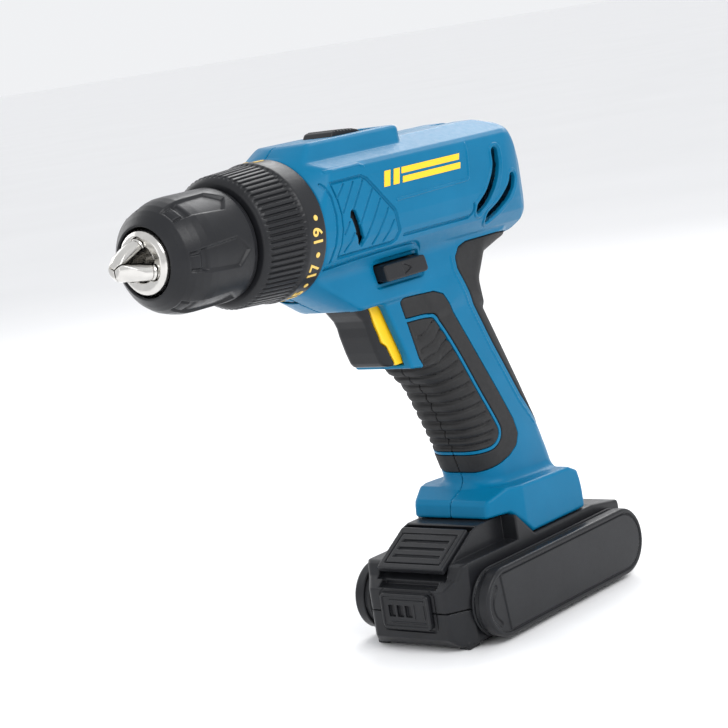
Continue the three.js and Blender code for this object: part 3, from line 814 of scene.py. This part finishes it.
for side, flip in (("left", False), ("right", True)):
    o = solid(
        f"grip_pad_{side}", grip_rubber, (-5, 0, 64), (62, 18.5, 151), 0.6, flip, grip_detail, 1
    )
    finish_piece(o, "soft_rubber", "root", f"grip_rubber_{side}")
    o = solid(
        f"back_strap_{side}", strap_rubber, (-34, 0, 70), (23, 18.5, 166), 0.7, flip, strap_detail, 1
    )
    finish_piece(o, "soft_rubber", "root", f"rear_rubber_{side}")


# ---------------------------------------------------------------- switches and trigger

SELECTOR_END = area([(74, 165.5), (46.8, 165.5), (45, 158.5), (72.2, 158.5)], 1.7)
SELECTOR_ARROW = area([(56.0, 162.0), (61.4, 164.2), (61.0, 159.8)], 0.3, pad=4)


def direction_selector(x, y, z):
    a = np.abs(y)
    f = both(SELECTOR_END(x, z), slab(a, 13, 21.4), 0.7)
    f = less(f, np.maximum(SELECTOR_ARROW(x, z), 20.9 - a), 0.2)
    bar = block(x, y, z, (52, -13.3, 152.6), (68, 13.3, 160), 0.6)
    return either(f, bar, 0.5)


o = solid("direction_slider", direction_selector, (44, -22, 152), (75, 22, 166), 0.5)
finish_piece(o, "black_plastic", "direction_switch", "direction_selector")

THUMB = area(
    [
        (59, 217.4), (59, 219.4), (60.2, 220.4), (64, 221.3), (74, 222), (76.4, 221.2), (77.6, 219.4),
        (77.6, 217.4),
    ],
    0.6,
)
THUMB_MIDDLE, THUMB_PITCH = 68.5, 2.0


def gear_selector(x, y, z):
    ridge = 0.45 * (0.5 + 0.5 * np.cos((x - THUMB_MIDDLE) * 2 * math.pi / THUMB_PITCH))
    ridge = ridge * smooth(x, 63, 64) * (1 - smooth(x, 74, 75))
    f = both(THUMB(x, z) + ridge * (z > 219), np.abs(y) - 7.8, 0.7)
    stem = block(x, y, z, (64, -3.6, 213.2), (72, 3.6, 218), 0.4)
    return either(f, stem, 0.3)


o = solid("gear_slider", gear_selector, (58, -8.4, 212.8), (78.4, 8.4, 222.4), 0.42)
finish_piece(o, "black_plastic", "gear_switch", "gear_selector")

TRIGGER = area(
    [
        (80.6, 149.2), (78.4, 146.4), (75.8, 143.6), (74.4, 140.6), (73.6, 136.6), (71.4, 129.4),
        (69.4, 124.6), (68, 123), (66, 122.4), (63.4, 122.4), (67.2, 131), (69.7, 133), (70.7, 137),
        (74.9, 149.2),
    ],
    1.2,
)
TRIGGER_FRONT = np.array(
    [
        (122.4, 67.5), (124.6, 69.4), (129.4, 71.4), (136.6, 73.6), (140.6, 74.4), (143.6, 75.8),
        (149.2, 80.6),
    ]
)
CORE = area(
    [
        (74.5, 149.2), (70.4, 137.1), (69.3, 133.3), (66.8, 131.1), (63, 122.4), (56, 122.4),
        (64.9, 145.6), (66.4, 149.2),
    ],
    0.8,
)


def trigger_front(x, y, z):
    a = np.abs(y)
    nose = np.interp(z, TRIGGER_FRONT[:, 0], TRIGGER_FRONT[:, 1])
    near = np.maximum(x - nose + 5.0, 0)
    return both(TRIGGER(x, z), a - 10.9 + 0.11 * near * near, 0.9)


def trigger_core(x, y, z):
    return both(CORE(x, z), np.abs(y) - 10.9, 0.6)


o = solid("trigger_front", trigger_front, (62, -11.2, 121.8), (81.4, 11.2, 149.8), 0.45)
finish_piece(o, "black_plastic", "trigger_unit", "trigger")
o = solid("trigger_insert", trigger_core, (55, -11.2, 121.8), (75.2, 11.2, 149.8), 0.5)
finish_piece(o, "yellow_plastic", "trigger_unit", "trigger_core")

# ---------------------------------------------------------------- chuck and collar

COLLAR = dense(
    [
        (113.5, 22), (140.7, 22), (140.7, 13.6), (143.5, 13.6), (143.7, 13.9), (143.7, 23.6),
        (143.2, 24.6), (141.9, 25.7), (141.0, 26.2), (123.0, 27.2), (122.2, 27.7), (121.4, 27.9),
        (112.3, 27.9), (111.8, 27.5), (111.8, 25.2), (112.1, 24.8), (113.5, 24.6),
    ],
    0.6,
)
RIB_COUNT = 66


def collar_shape(x, r, angle):
    wave = (angle * RIB_COUNT / (2 * math.pi)) % 1.0
    gap = 1 - smooth(np.abs(wave - 0.5), 0.14, 0.27)
    zone = smooth(x, 122.6, 123.6) * (1 - smooth(x, 141.2, 142.0)) * smooth(r, 25.4, 25.8)
    return r - 1.05 * gap * zone


o = turned("collar_ring", COLLAR, RIB_COUNT * 14, collar_shape)
finish_piece(o, "black_plastic", "collar", "torque_collar")

SLEEVE = dense(
    [
        (168, 20.6), (171, 19.1), (177, 17.3), (179.5, 13.5), (183.1, 13.4), (183.5, 13.7),
        (183.5, 14.1), (183.0, 14.8), (181, 17.2), (179.2, 18.9), (176.6, 20.4), (173.4, 21.4),
        (170, 22.1), (166, 22.3), (147.4, 22.3), (146.2, 22.2), (145.0, 21.8), (144.6, 21.3),
        (144.6, 20.9), (144.9, 20.7),
    ],
    0.34,
)


def sleeve_shape(x, r, angle):
    """Six long dishes, pointed at the rear, each with a deeper notch and a raised pad in front."""
    out = smooth(r, 17.0, 17.6) * (x > 145.4)
    outer = np.where(x < 168, r > 21.2, r > 20.4 - (x - 168) * 0.36)
    sector = (angle + math.radians(35)) % (math.pi / 3) - math.pi / 6
    arc = sector * 21.5
    half = 6.0 - 0.06 * np.maximum(x - 152, 0)
    tail = np.maximum(154.5 - x, 0)
    edge = (np.abs(arc) - half + tail * 1.1) / np.where(tail > 0, 1.48, 1.0)
    long = np.maximum(edge, x - 178.6)
    dish = 1.15 * (1 - smooth(long, -1.2, 0.25))
    notch = np.maximum(np.abs(arc) - half + 0.4, np.abs(x - 172.4) - 1.3)
    dish = dish + 0.55 * (1 - smooth(notch, -0.5, 0.2))
    pad = np.maximum(np.abs(arc + 0.2) - half + 1.6, np.abs(x - 176.1) - 1.9)
    dish = dish - 0.75 * (1 - smooth(pad, -0.5, 0.2))
    ring = 0.35 * np.exp(-(((x - 145.9) / 0.35) ** 2))
    return r - (dish + ring) * outer * out


o = turned("chuck_grip", SLEEVE, 720, sleeve_shape)
finish_piece(o, "black_plastic", "sleeve", "chuck_sleeve")

JAW_TILT = math.radians(16)
JAW_APEX = 207.7  # where the three jaws' middle lines would meet
JAW_R, JAW_BORE_R = 3.18, 3.45
JAW_BACK, JAW_TIP = 171.5, 199.0
JAW_TURNS = [math.radians(120 * k) for k in range(3)]
CORE_PROFILE = area(
    [
        (146, -5), (146, 18), (151, 18), (151, 13.6), (170.5, 13.6), (170.5, 18.3), (172, 18.3),
        (176.5, 16.5), (178.8, 13), (182, 12.8), (184.2, 12.0), (185.4, 10.6), (185.4, 7.2), (176, 6.4),
        (166, 3.2), (162, 3.2), (162, 6.6), (146.6, 6.6), (146.6, -5),
    ],
    0.4,
    pad=6,
)


def jaw_axis(x, y, z, turn):
    """Distance from the slanted middle line of the jaw at that turn, and how far beside and above the
    spindle axis that is, seen from the jaw."""
    c, s = math.cos(turn), math.sin(turn)
    up = (z - AXIS_Z) * c - y * s
    side = y * c + (z - AXIS_Z) * s
    lift = up - (JAW_APEX - x) * math.tan(JAW_TILT)
    return np.sqrt((lift * math.cos(JAW_TILT)) ** 2 + side**2), side, up


def chuck_core(x, y, z):
    r = np.sqrt(y * y + (z - AXIS_Z) ** 2)
    f = CORE_PROFILE(x, r)
    for turn in JAW_TURNS:
        f = less(f, jaw_axis(x, y, z, turn)[0] - JAW_BORE_R, 0.2)
    return f


o = solid("chuck_core", chuck_core, (145.5, -18.6, 169.4), (185.8, 18.6, 206.6), 0.55)
finish_piece(o, "steel", "output", "chuck_body")

NOSE_CUT = area(
    [
        (150, -5), (150, 34), (189, 34), (189.5, 8.6), (193, 6.9), (196.3, 5.1), (198.9, 2.9),
        (198.9, -5),
    ],
    0.6,
    pad=4,
)


def jaw(turn):
    def field(x, y, z):
        d, side, up = jaw_axis(x, y, z, turn)
        along = (x - JAW_TIP) * math.cos(JAW_TILT) - (up - 2.5) * math.sin(JAW_TILT)
        thread = 0.22 * (0.5 + 0.5 * np.cos(along * 2 * math.pi / 1.5)) * (along < -13)
        f = both(d - JAW_R + thread, -along - 26.8, 0.2)
        wedge = np.abs(side) * 0.5 - (up - 0.22) * math.cos(math.radians(30))
        f = both(f, wedge, 0.12)
        r = np.sqrt(y * y + (z - AXIS_Z) ** 2)
        return both(f, NOSE_CUT(x, r), 0.15)

    return field


for k, turn in enumerate(JAW_TURNS):
    mid = []
    for x in (JAW_BACK, JAW_TIP):
        up = (JAW_APEX - x) * math.tan(JAW_TILT)
        mid.append((x, -up * math.sin(turn), AXIS_Z + up * math.cos(turn)))
    low, high = np.min(mid, 0) - 4.2, np.max(mid, 0) + 4.2
    o = solid(f"jaw_{'abc'[k]}_bar", jaw(turn), low, high, 0.33)
    finish_piece(o, "steel", f"jaw_{'abc'[k]}", f"chuck_jaw_{k + 1}")


MARK_X = 116.8
MARK_R = 27.93
MARK_STEP = math.radians(15)
LAST_NUMBER, LAST_ANGLE = 19, math.radians(-7)


def on_collar(across, along, r, angle):
    """Flat points laid round the collar, with their tops towards the chuck."""
    a = angle + across / 27.9
    return np.stack([MARK_X + along, r * np.cos(a), AXIS_Z + r * np.sin(a)], 1)


def number_mark(text, angle):
    """A number as a closed thin solid."""
    data = bpy.data.curves.new("mark", "FONT")
    data.body = text
    data.size = 7.4
    data.align_x, data.align_y = "CENTER", "CENTER"
    data.extrude = 0.09
    data.offset = 0.14
    data.resolution_u = 3
    obj = bpy.data.objects.new("mark", data)
    bpy.context.scene.collection.objects.link(obj)
    bpy.context.view_layer.update()
    mesh = bpy.data.meshes.new_from_object(obj.evaluated_get(bpy.context.evaluated_depsgraph_get()))
    v = np.zeros(len(mesh.vertices) * 3)
    mesh.vertices.foreach_get("co", v)
    v = v.reshape(-1, 3)
    faces = [list(p.vertices) for p in mesh.polygons]
    bpy.data.objects.remove(obj)
    bpy.data.curves.remove(data)
    bpy.data.meshes.remove(mesh)
    return on_collar(v[:, 0], v[:, 1], MARK_R + v[:, 2] + 0.09, angle), faces


def dot_mark(angle):
    n, size = 20, 1.1
    t = np.arange(n) * 2 * math.pi / n
    across, along = np.tile(size * np.cos(t), 2), np.tile(size * np.sin(t), 2)
    faces = [list(range(n - 1, -1, -1)), list(range(n, 2 * n))]
    faces += [[i, (i + 1) % n, n + (i + 1) % n, n + i] for i in range(n)]
    return on_collar(across, along, np.repeat([MARK_R, 28.1], n), angle), faces


def joined(shapes):
    """Several (points, faces) as one."""
    verts, faces = [], []
    for v, f in shapes:
        faces += [[i + len(verts) for i in face] for face in f]
        verts += list(v)
    return np.array(verts), faces


marks = []
for k in range(LAST_NUMBER):
    number, angle = LAST_NUMBER - k, LAST_ANGLE - MARK_STEP * k
    marks.append(number_mark(str(number), angle) if number % 2 else dot_mark(angle))
marks.append(dot_mark(LAST_ANGLE + MARK_STEP))
o = as_object("dial_marks", *joined(marks), soft=False)
finish_piece(o, "cream_marks", "collar")

# ---------------------------------------------------------------- marks on the barrel's sides

BAR_LOW, BAR_HIGH = 196.9, 203.1
SHORT_BARS = [(72.6, 68.8, BAR_LOW, BAR_HIGH), (66.6, 62.8, BAR_LOW, BAR_HIGH)]
LONG_BARS = [(60.6, 22.0, BAR_LOW, 199.4), (60.6, 22.0, 200.6, BAR_HIGH)]


def slanted_bar(x0, x1, z0, z1, sign):
    """A thin closed bar with slanted ends, proud of the barrel's side."""
    slant = -1.6 * (z1 - z0) / 6.2
    pts = [(x0 + slant, z1), (x1 + slant, z1), (x1, z0), (x0, z0)]
    verts = [(x, sign * y, z) for y in (26.9, 27.18) for x, z in pts]
    faces = [(3, 2, 1, 0), (4, 5, 6, 7)] + [(i, (i + 1) % 4, 4 + (i + 1) % 4, 4 + i) for i in range(4)]
    return verts, faces if sign > 0 else [q[::-1] for q in faces]


for side, sign in (("left", 1), ("right", -1)):
    bars = joined([slanted_bar(*bar, sign) for bar in SHORT_BARS + LONG_BARS])
    o = as_object(f"side_bars_{side}", *bars, soft=False)
    finish_piece(o, "yellow_plastic", "root")

# ---------------------------------------------------------------- battery

CELL_Z = 16.9
PACK_SPLIT_Z = 17.0
PACK_SIDE = area(
    [
        (-58, 1.5), (-62, 8), (-62, 26), (-57, 33), (-37, 36), (7.5, 36), (18.7, 47), (36.5, 47),
        (41.3, 45.8), (59.3, 35.4), (61.6, 30.6), (67, 26.5), (67, 5.5), (63, 1.5),
    ],
    1.0,
)
PACK_PLAN = area([(70, -40), (70, 18.4), (57, 27), (-57, 27), (-64, 20.6), (-64, -40)], 1.2)
BUTTON_POCKET = area([(65.7, 35.4), (40, 50.2), (36, 43), (61.7, 28.2)], 0.5)
BUTTON = area([(61.3, 32.2), (40.6, 44.1), (42.2, 46.9), (62.9, 35)], 0.7)


def pack_body(x, y, z):
    a = np.abs(y)
    f = both(PACK_SIDE(x, z), PACK_PLAN(x, a), 1.2)
    shoulder = np.maximum(np.maximum(20 - x, 19.3 - a), 36.3 - z)
    f = less(f, shoulder, 0.6)
    rail = block(x, a, z, (-29, -1, 30), (18.5, 17, 46.8), 0.5)
    return either(f, rail, 0.4)


def cap_shape(x, z, radius, span=44.5):
    """A flat-sided oval, as the end caps and the cell room are."""
    u = np.maximum(np.abs(x) - span, 0)
    return np.sqrt(u * u + (z - CELL_Z) ** 2) - radius


def pack_field(upper):
    def field(x, y, z):
        a = np.abs(y)
        f = pack_body(x, y, z)
        feet = np.minimum(slab(x, -52, -45), slab(x, 54, 61))
        feet = both(np.maximum(feet, slab(a, 19, 25)), slab(z, 0, 3), 0.5)
        pad = both(np.maximum(slab(x, -18, 18), a - 12), slab(z, 0, 3), 0.6)
        f = either(f, np.minimum(feet, pad), 0.5)
        hood = np.maximum(np.maximum(slab(z, 26.9, 29.2), a - 15.5), 60.5 - x)
        f = less(f, hood, 0.4)
        frame = np.maximum(np.abs(both(a - 14.2, slab(z, 9.0, 26.0), 2.0)) - 0.45, 66.5 - x)
        f = less(f, frame, 0.3)
        # button, cells and contacts
        f = less(f, np.maximum(BUTTON_POCKET(x, z), a - 18.3), 0.5)
        f = np.maximum(f, -np.maximum(cap_shape(x, z, 11.5, 42.0), a - 40))
        for c in (-9, 0, 9):
            f = np.maximum(f, -block(x, y, z, (-30, c - 1.2, 34), (-10, c + 1.2, 50)))
        cut = PACK_SPLIT_Z + GAP / 2 - z if upper else z - PACK_SPLIT_Z + GAP / 2
        return both(f, cut, 0.3)

    return field


o = solid("pack_top", pack_field(True), (-63, -27.6, 16.6), (68, 27.6, 47.6), 0.75)
finish_piece(o, "black_plastic", "pack", "battery_shell")
o = solid("pack_floor", pack_field(False), (-63, -27.6, -0.4), (68, 27.6, 17.4), 0.75)
finish_piece(o, "black_plastic", "pack", "battery_base")

CRESCENT = lines([curve([(51.6, 24.6), (54.6, 20.6), (55.4, 16.4), (54.2, 12.2), (51.2, 8.8)])])


def cap_field(x, y, z):
    rim = cap_shape(x, z, 15.0)
    f = both(rim, slab(y, 27.3, 36.45), 1.3)
    # the raised edge round a sunk face
    sunk = np.maximum(cap_shape(x, z, 12.9), 35.75 - y)
    f = less(f, sunk, 0.5)
    plate = np.maximum(cap_shape(x, z, 12.3), x - 46.6 - (z - CELL_Z) * 0.1)
    plate = both(plate, slab(y, 33.0, 36.3), 0.5)
    f = either(f, plate, 0.1)
    f = less(f, np.maximum(CRESCENT(x, z) - 1.1, 35.2 - y), 0.5)
    # the waist between the cap and the middle block
    waist = np.maximum(-(rim + 1.1), slab(y, 28.9, 31.0))
    f = less(f, waist, 0.7)
    room = np.maximum(cap_shape(x, z, 11.5, 42.0), y - 33.4)
    return np.maximum(f, -room)


def cap_detail(x, y, z, k):
    edge = np.minimum(np.abs(CRESCENT(x, z) - 1.1), np.abs(x - 46.6 - (z - CELL_Z) * 0.1))
    return (y > 34) & (edge < 1.0)


for side, flip in (("left", False), ("right", True)):
    o = solid(f"end_cap_{side}", cap_field, (-60, 26.8, 1.4), (60, 36.9, 32.4), 0.6, flip, cap_detail, 1)
    finish_piece(o, "black_plastic", "pack", f"battery_cap_{side}")


def gauge_field(x, y, z):
    edge = both(np.abs(y) - 13, slab(z, 10.2, 25.5), 2.2)
    f = both(edge, slab(x, 67.3, 69.6), 0.6)
    face = np.maximum(edge + 1.3, 69.1 - x)
    f = less(f, face, 0.3)
    # battery sign: two long lines with brackets, and three windows
    long_lines = np.maximum(np.minimum(slab(z, 22.3, 22.9), slab(z, 12.8, 13.4)), slab(y, -8.4, 10.2))
    ends = np.maximum(np.minimum(slab(y, 9.8, 10.3), slab(y, 4.6, 5.1)), slab(z, 14.8, 20.9))
    f = either(f, np.maximum(np.minimum(long_lines, ends), slab(x, 68.6, 69.45)), 0.1)
    for k in range(3):
        hole = both(np.abs(y - (1.6 - 4.5 * k)) - 1.7, slab(z, 15.4, 20.4), 0.3)
        f = less(f, np.maximum(hole, 67.8 - x), 0.15)
    return f


o = solid("gauge_plate", gauge_field, (67.0, -13.4, 9.8), (69.9, 13.4, 25.9), 0.33)
finish_piece(o, "black_plastic", "pack", "gauge_panel")


def button_field(x, y, z):
    f = both(BUTTON(x, z), np.abs(y) - 17.7, 0.8)
    along = (x - 52) * -0.866 + (z - 39) * 0.5
    for at in (-4.4, 0.0, 4.4):
        g = np.maximum(np.maximum(np.abs(along - at) - 0.8, np.abs(y) - 12.5), -(f + 0.9))
        f = less(f, g, 0.4)
    edge = np.maximum(np.abs(np.maximum(np.abs(along) - 8.6, np.abs(y) - 14.8)) - 0.35, -(f + 0.6))
    return less(f, edge, 0.25)


o = solid("release_pad", button_field, (39.6, -18.2, 31.4), (63.6, 18.2, 47.6), 0.5)
finish_piece(o, "black_plastic", "latch_button", "release_button")

# ---------------------------------------------------------------- housing screws


def screw_field(sx, sz, depth):
    """A screw put in from the right, its head sunk in its hole, with a six-lobed socket and a thread."""
    head = 2.0 - depth

    def field(x, y, z):
        r = np.sqrt((x - sx) ** 2 + (z - sz) ** 2)
        t = np.arctan2(z - sz, x - sx)
        f = both(r - 2.95, slab(y, head, head + 2.5), 0.5)
        star = np.maximum(r - 1.5 - 0.28 * np.cos(6 * t), y - head - 1.5)
        f = less(f, star, 0.1)
        shank = both(r - 1.4 - 0.18 * np.cos(2 * math.pi * y / 1.2 + t), slab(y, head + 1, -1.05), 0.2)
        return either(f, shank, 0.2)

    return field


for k, (sx, sz, depth) in enumerate(SCREWS):
    o = solid(
        f"case_screw_{k + 1}",
        screw_field(sx, sz, depth),
        (sx - 3.2, 1.8 - depth, sz - 3.2),
        (sx + 3.2, -0.8, sz + 3.2),
        0.32,
    )
    finish_piece(o, "dark_steel", "root", f"housing_screw_{k + 1}")

# ---------------------------------------------------------------- springs


def coil_spring(name, length, radius, wire, turns, at, tilt):
    """A round wire wound along +X, turned about Y, and the middles of its two end turns."""
    steps, sides = int(turns * 40), 12
    t = np.linspace(0, 1, steps + 1)
    angle = 2 * math.pi * turns * t
    ease = 0.6 * np.sin(2 * math.pi * t) / (2 * math.pi) * (turns > 4)
    along = wire + (length - 2 * wire) * (t - ease)
    centre = np.stack([along, radius * np.cos(angle), radius * np.sin(angle)], 1)
    out = np.stack([np.zeros_like(t), np.cos(angle), np.sin(angle)], 1)
    axis = np.array([1.0, 0.0, 0.0])
    rings = []
    for k in range(sides):
        a = 2 * math.pi * k / sides
        rings.append(centre + wire * (math.cos(a) * out + math.sin(a) * axis))
    grid = np.stack(rings, 1).reshape(-1, 3)
    faces = [tuple(range(sides - 1, -1, -1)), tuple(steps * sides + k for k in range(sides))]
    for i in range(steps):
        a, b = i * sides, (i + 1) * sides
        faces += [(a + k, a + (k + 1) % sides, b + (k + 1) % sides, b + k) for k in range(sides)]
    c, q = math.cos(tilt), math.sin(tilt)
    turn = np.array([[c, 0, q], [0, 1, 0], [-q, 0, c]])
    foot, tip = (tuple((turn @ (x, 0, 0) + at) * MM) for x in (wire, length - wire))
    return as_object(name, grid @ turn.T + at, faces), foot, tip


SPRINGS = (
    ("trigger_coil", "trigger_spring", (8, 4, 0.5, 4), (49.2, 0, 136), 0, "root", "trigger_unit"),
    ("clutch_coil", "clutch_spring", (25, 16, 1.2, 6), (107.8, 0, AXIS_Z), 0, "root", "nut"),
    ("release_coil", "release_spring", (5.4, 3, 0.4, 4), (47.8, 0, 32.6), -60, "pack", "latch_button"),
)
for name, cad, wound, at, tilt, fixed, moved in SPRINGS:
    o, foot, tip = coil_spring(name, *wound, at, math.radians(tilt))
    o.data.materials.append(LOOKS["steel"])
    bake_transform(o)
    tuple(foot)
    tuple(tip)
    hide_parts(cad)

# ---------------------------------------------------------------- the CAD nodes that still show

SLOT_OF = {s["node"]: s["material_slot"] for s in frame["record"]["subparts"]}
for name, obj in frame["nodes"].items():
    if not obj.hide_render:
        look = LOOKS[SLOT_OF[name]]
        if not obj.material_slots:
            obj.data.materials.append(look)
        for s in obj.material_slots:
            s.material = look


# ---------------------------------------------------------------- room, light and camera

FLOOR_HALF = 60.0
CAMERA_AT = (0.7311, 0.5755, 0.2600)
CAMERA_ANGLES = (131.06, 8.77, 9.04)  # azimuth, elevation and roll, in degrees
CAMERA_LENS = 106.4
DRILL = (0.02, 0, 0.12)


def softbox(name, at, target, size, power):
    light = bpy.data.lights.new(name, "AREA")
    light.shape = "RECTANGLE"
    light.size, light.size_y = size
    light.energy = power
    obj = bpy.data.objects.new(name, light)
    bpy.context.scene.collection.objects.link(obj)
    obj.location = Vector(at)
    obj.rotation_mode = "QUATERNION"
    obj.rotation_quaternion = (Vector(target) - Vector(at)).to_track_quat("-Z", "Y")
    return obj


def build_floor():
    def build(nt, bsdf):
        soft = noise(nt, 3.0, 4.0)
        c = ramp(nt, soft.outputs["Fac"], [(0.3, (0.93, 0.93, 0.935)), (0.7, (0.96, 0.96, 0.965))])
        nt.links.new(c.outputs["Color"], bsdf.inputs["Base Color"])
        roughen(nt, bsdf, noise(nt, 60.0).outputs["Fac"], (0.3, 0.5), (0.7, 0.62))
        emboss(nt, bsdf, noise(nt, 900.0).outputs["Fac"], 0.1, 0.0002)

    mesh = bpy.data.meshes.new("floor")
    s = FLOOR_HALF
    mesh.from_pydata([(-s, -s, 0), (s, -s, 0), (s, s, 0), (-s, s, 0)], [], [(0, 1, 2, 3)])
    floor = bpy.data.objects.new("floor", mesh)
    floor.location.z = -0.0002
    bpy.context.scene.collection.objects.link(floor)
    floor.data.materials.append(shade("floor", build))


def build_world():
    world = bpy.data.worlds.new("studio")
    world.use_nodes = True
    back = world.node_tree.nodes["Background"]
    back.inputs["Color"].default_value = (0.97, 0.98, 1.0, 1)
    back.inputs["Strength"].default_value = 0.9
    bpy.context.scene.world = world


def build_camera():
    az, el, roll = (math.radians(a) for a in CAMERA_ANGLES)
    back = Vector((math.sin(az) * math.cos(el), -math.cos(az) * math.cos(el), math.sin(el)))
    right = Vector((0, 0, 1)).cross(back).normalized()
    up = back.cross(right)
    cam_right = math.cos(roll) * right - math.sin(roll) * up
    cam_up = math.sin(roll) * right + math.cos(roll) * up
    data = bpy.data.cameras.new("camera")
    data.lens = CAMERA_LENS
    data.sensor_width = 36
    data.clip_start, data.clip_end = 0.05, 50
    cam = bpy.data.objects.new("camera", data)
    bpy.context.scene.collection.objects.link(cam)
    turn = Matrix((cam_right, cam_up, back)).transposed()
    cam.matrix_world = Matrix.Translation(Vector(CAMERA_AT)) @ turn.to_4x4()
    bpy.context.scene.camera = cam


build_floor()
build_world()
build_camera()
bpy.context.scene.view_settings.view_transform = "Standard"
softbox("key", (0.25, 0.95, 0.95), DRILL, (0.9, 0.6), 9)
softbox("fill", (1.2, 0.1, 0.35), DRILL, (0.7, 0.9), 1.5)
softbox("back_light", (-0.8, -0.3, 0.8), (0.0, 0, 0.15), (0.7, 0.7), 6)
softbox("right_light", (0.1, -1.1, 0.6), (0.0, 0, 0.12), (0.9, 0.7), 3)
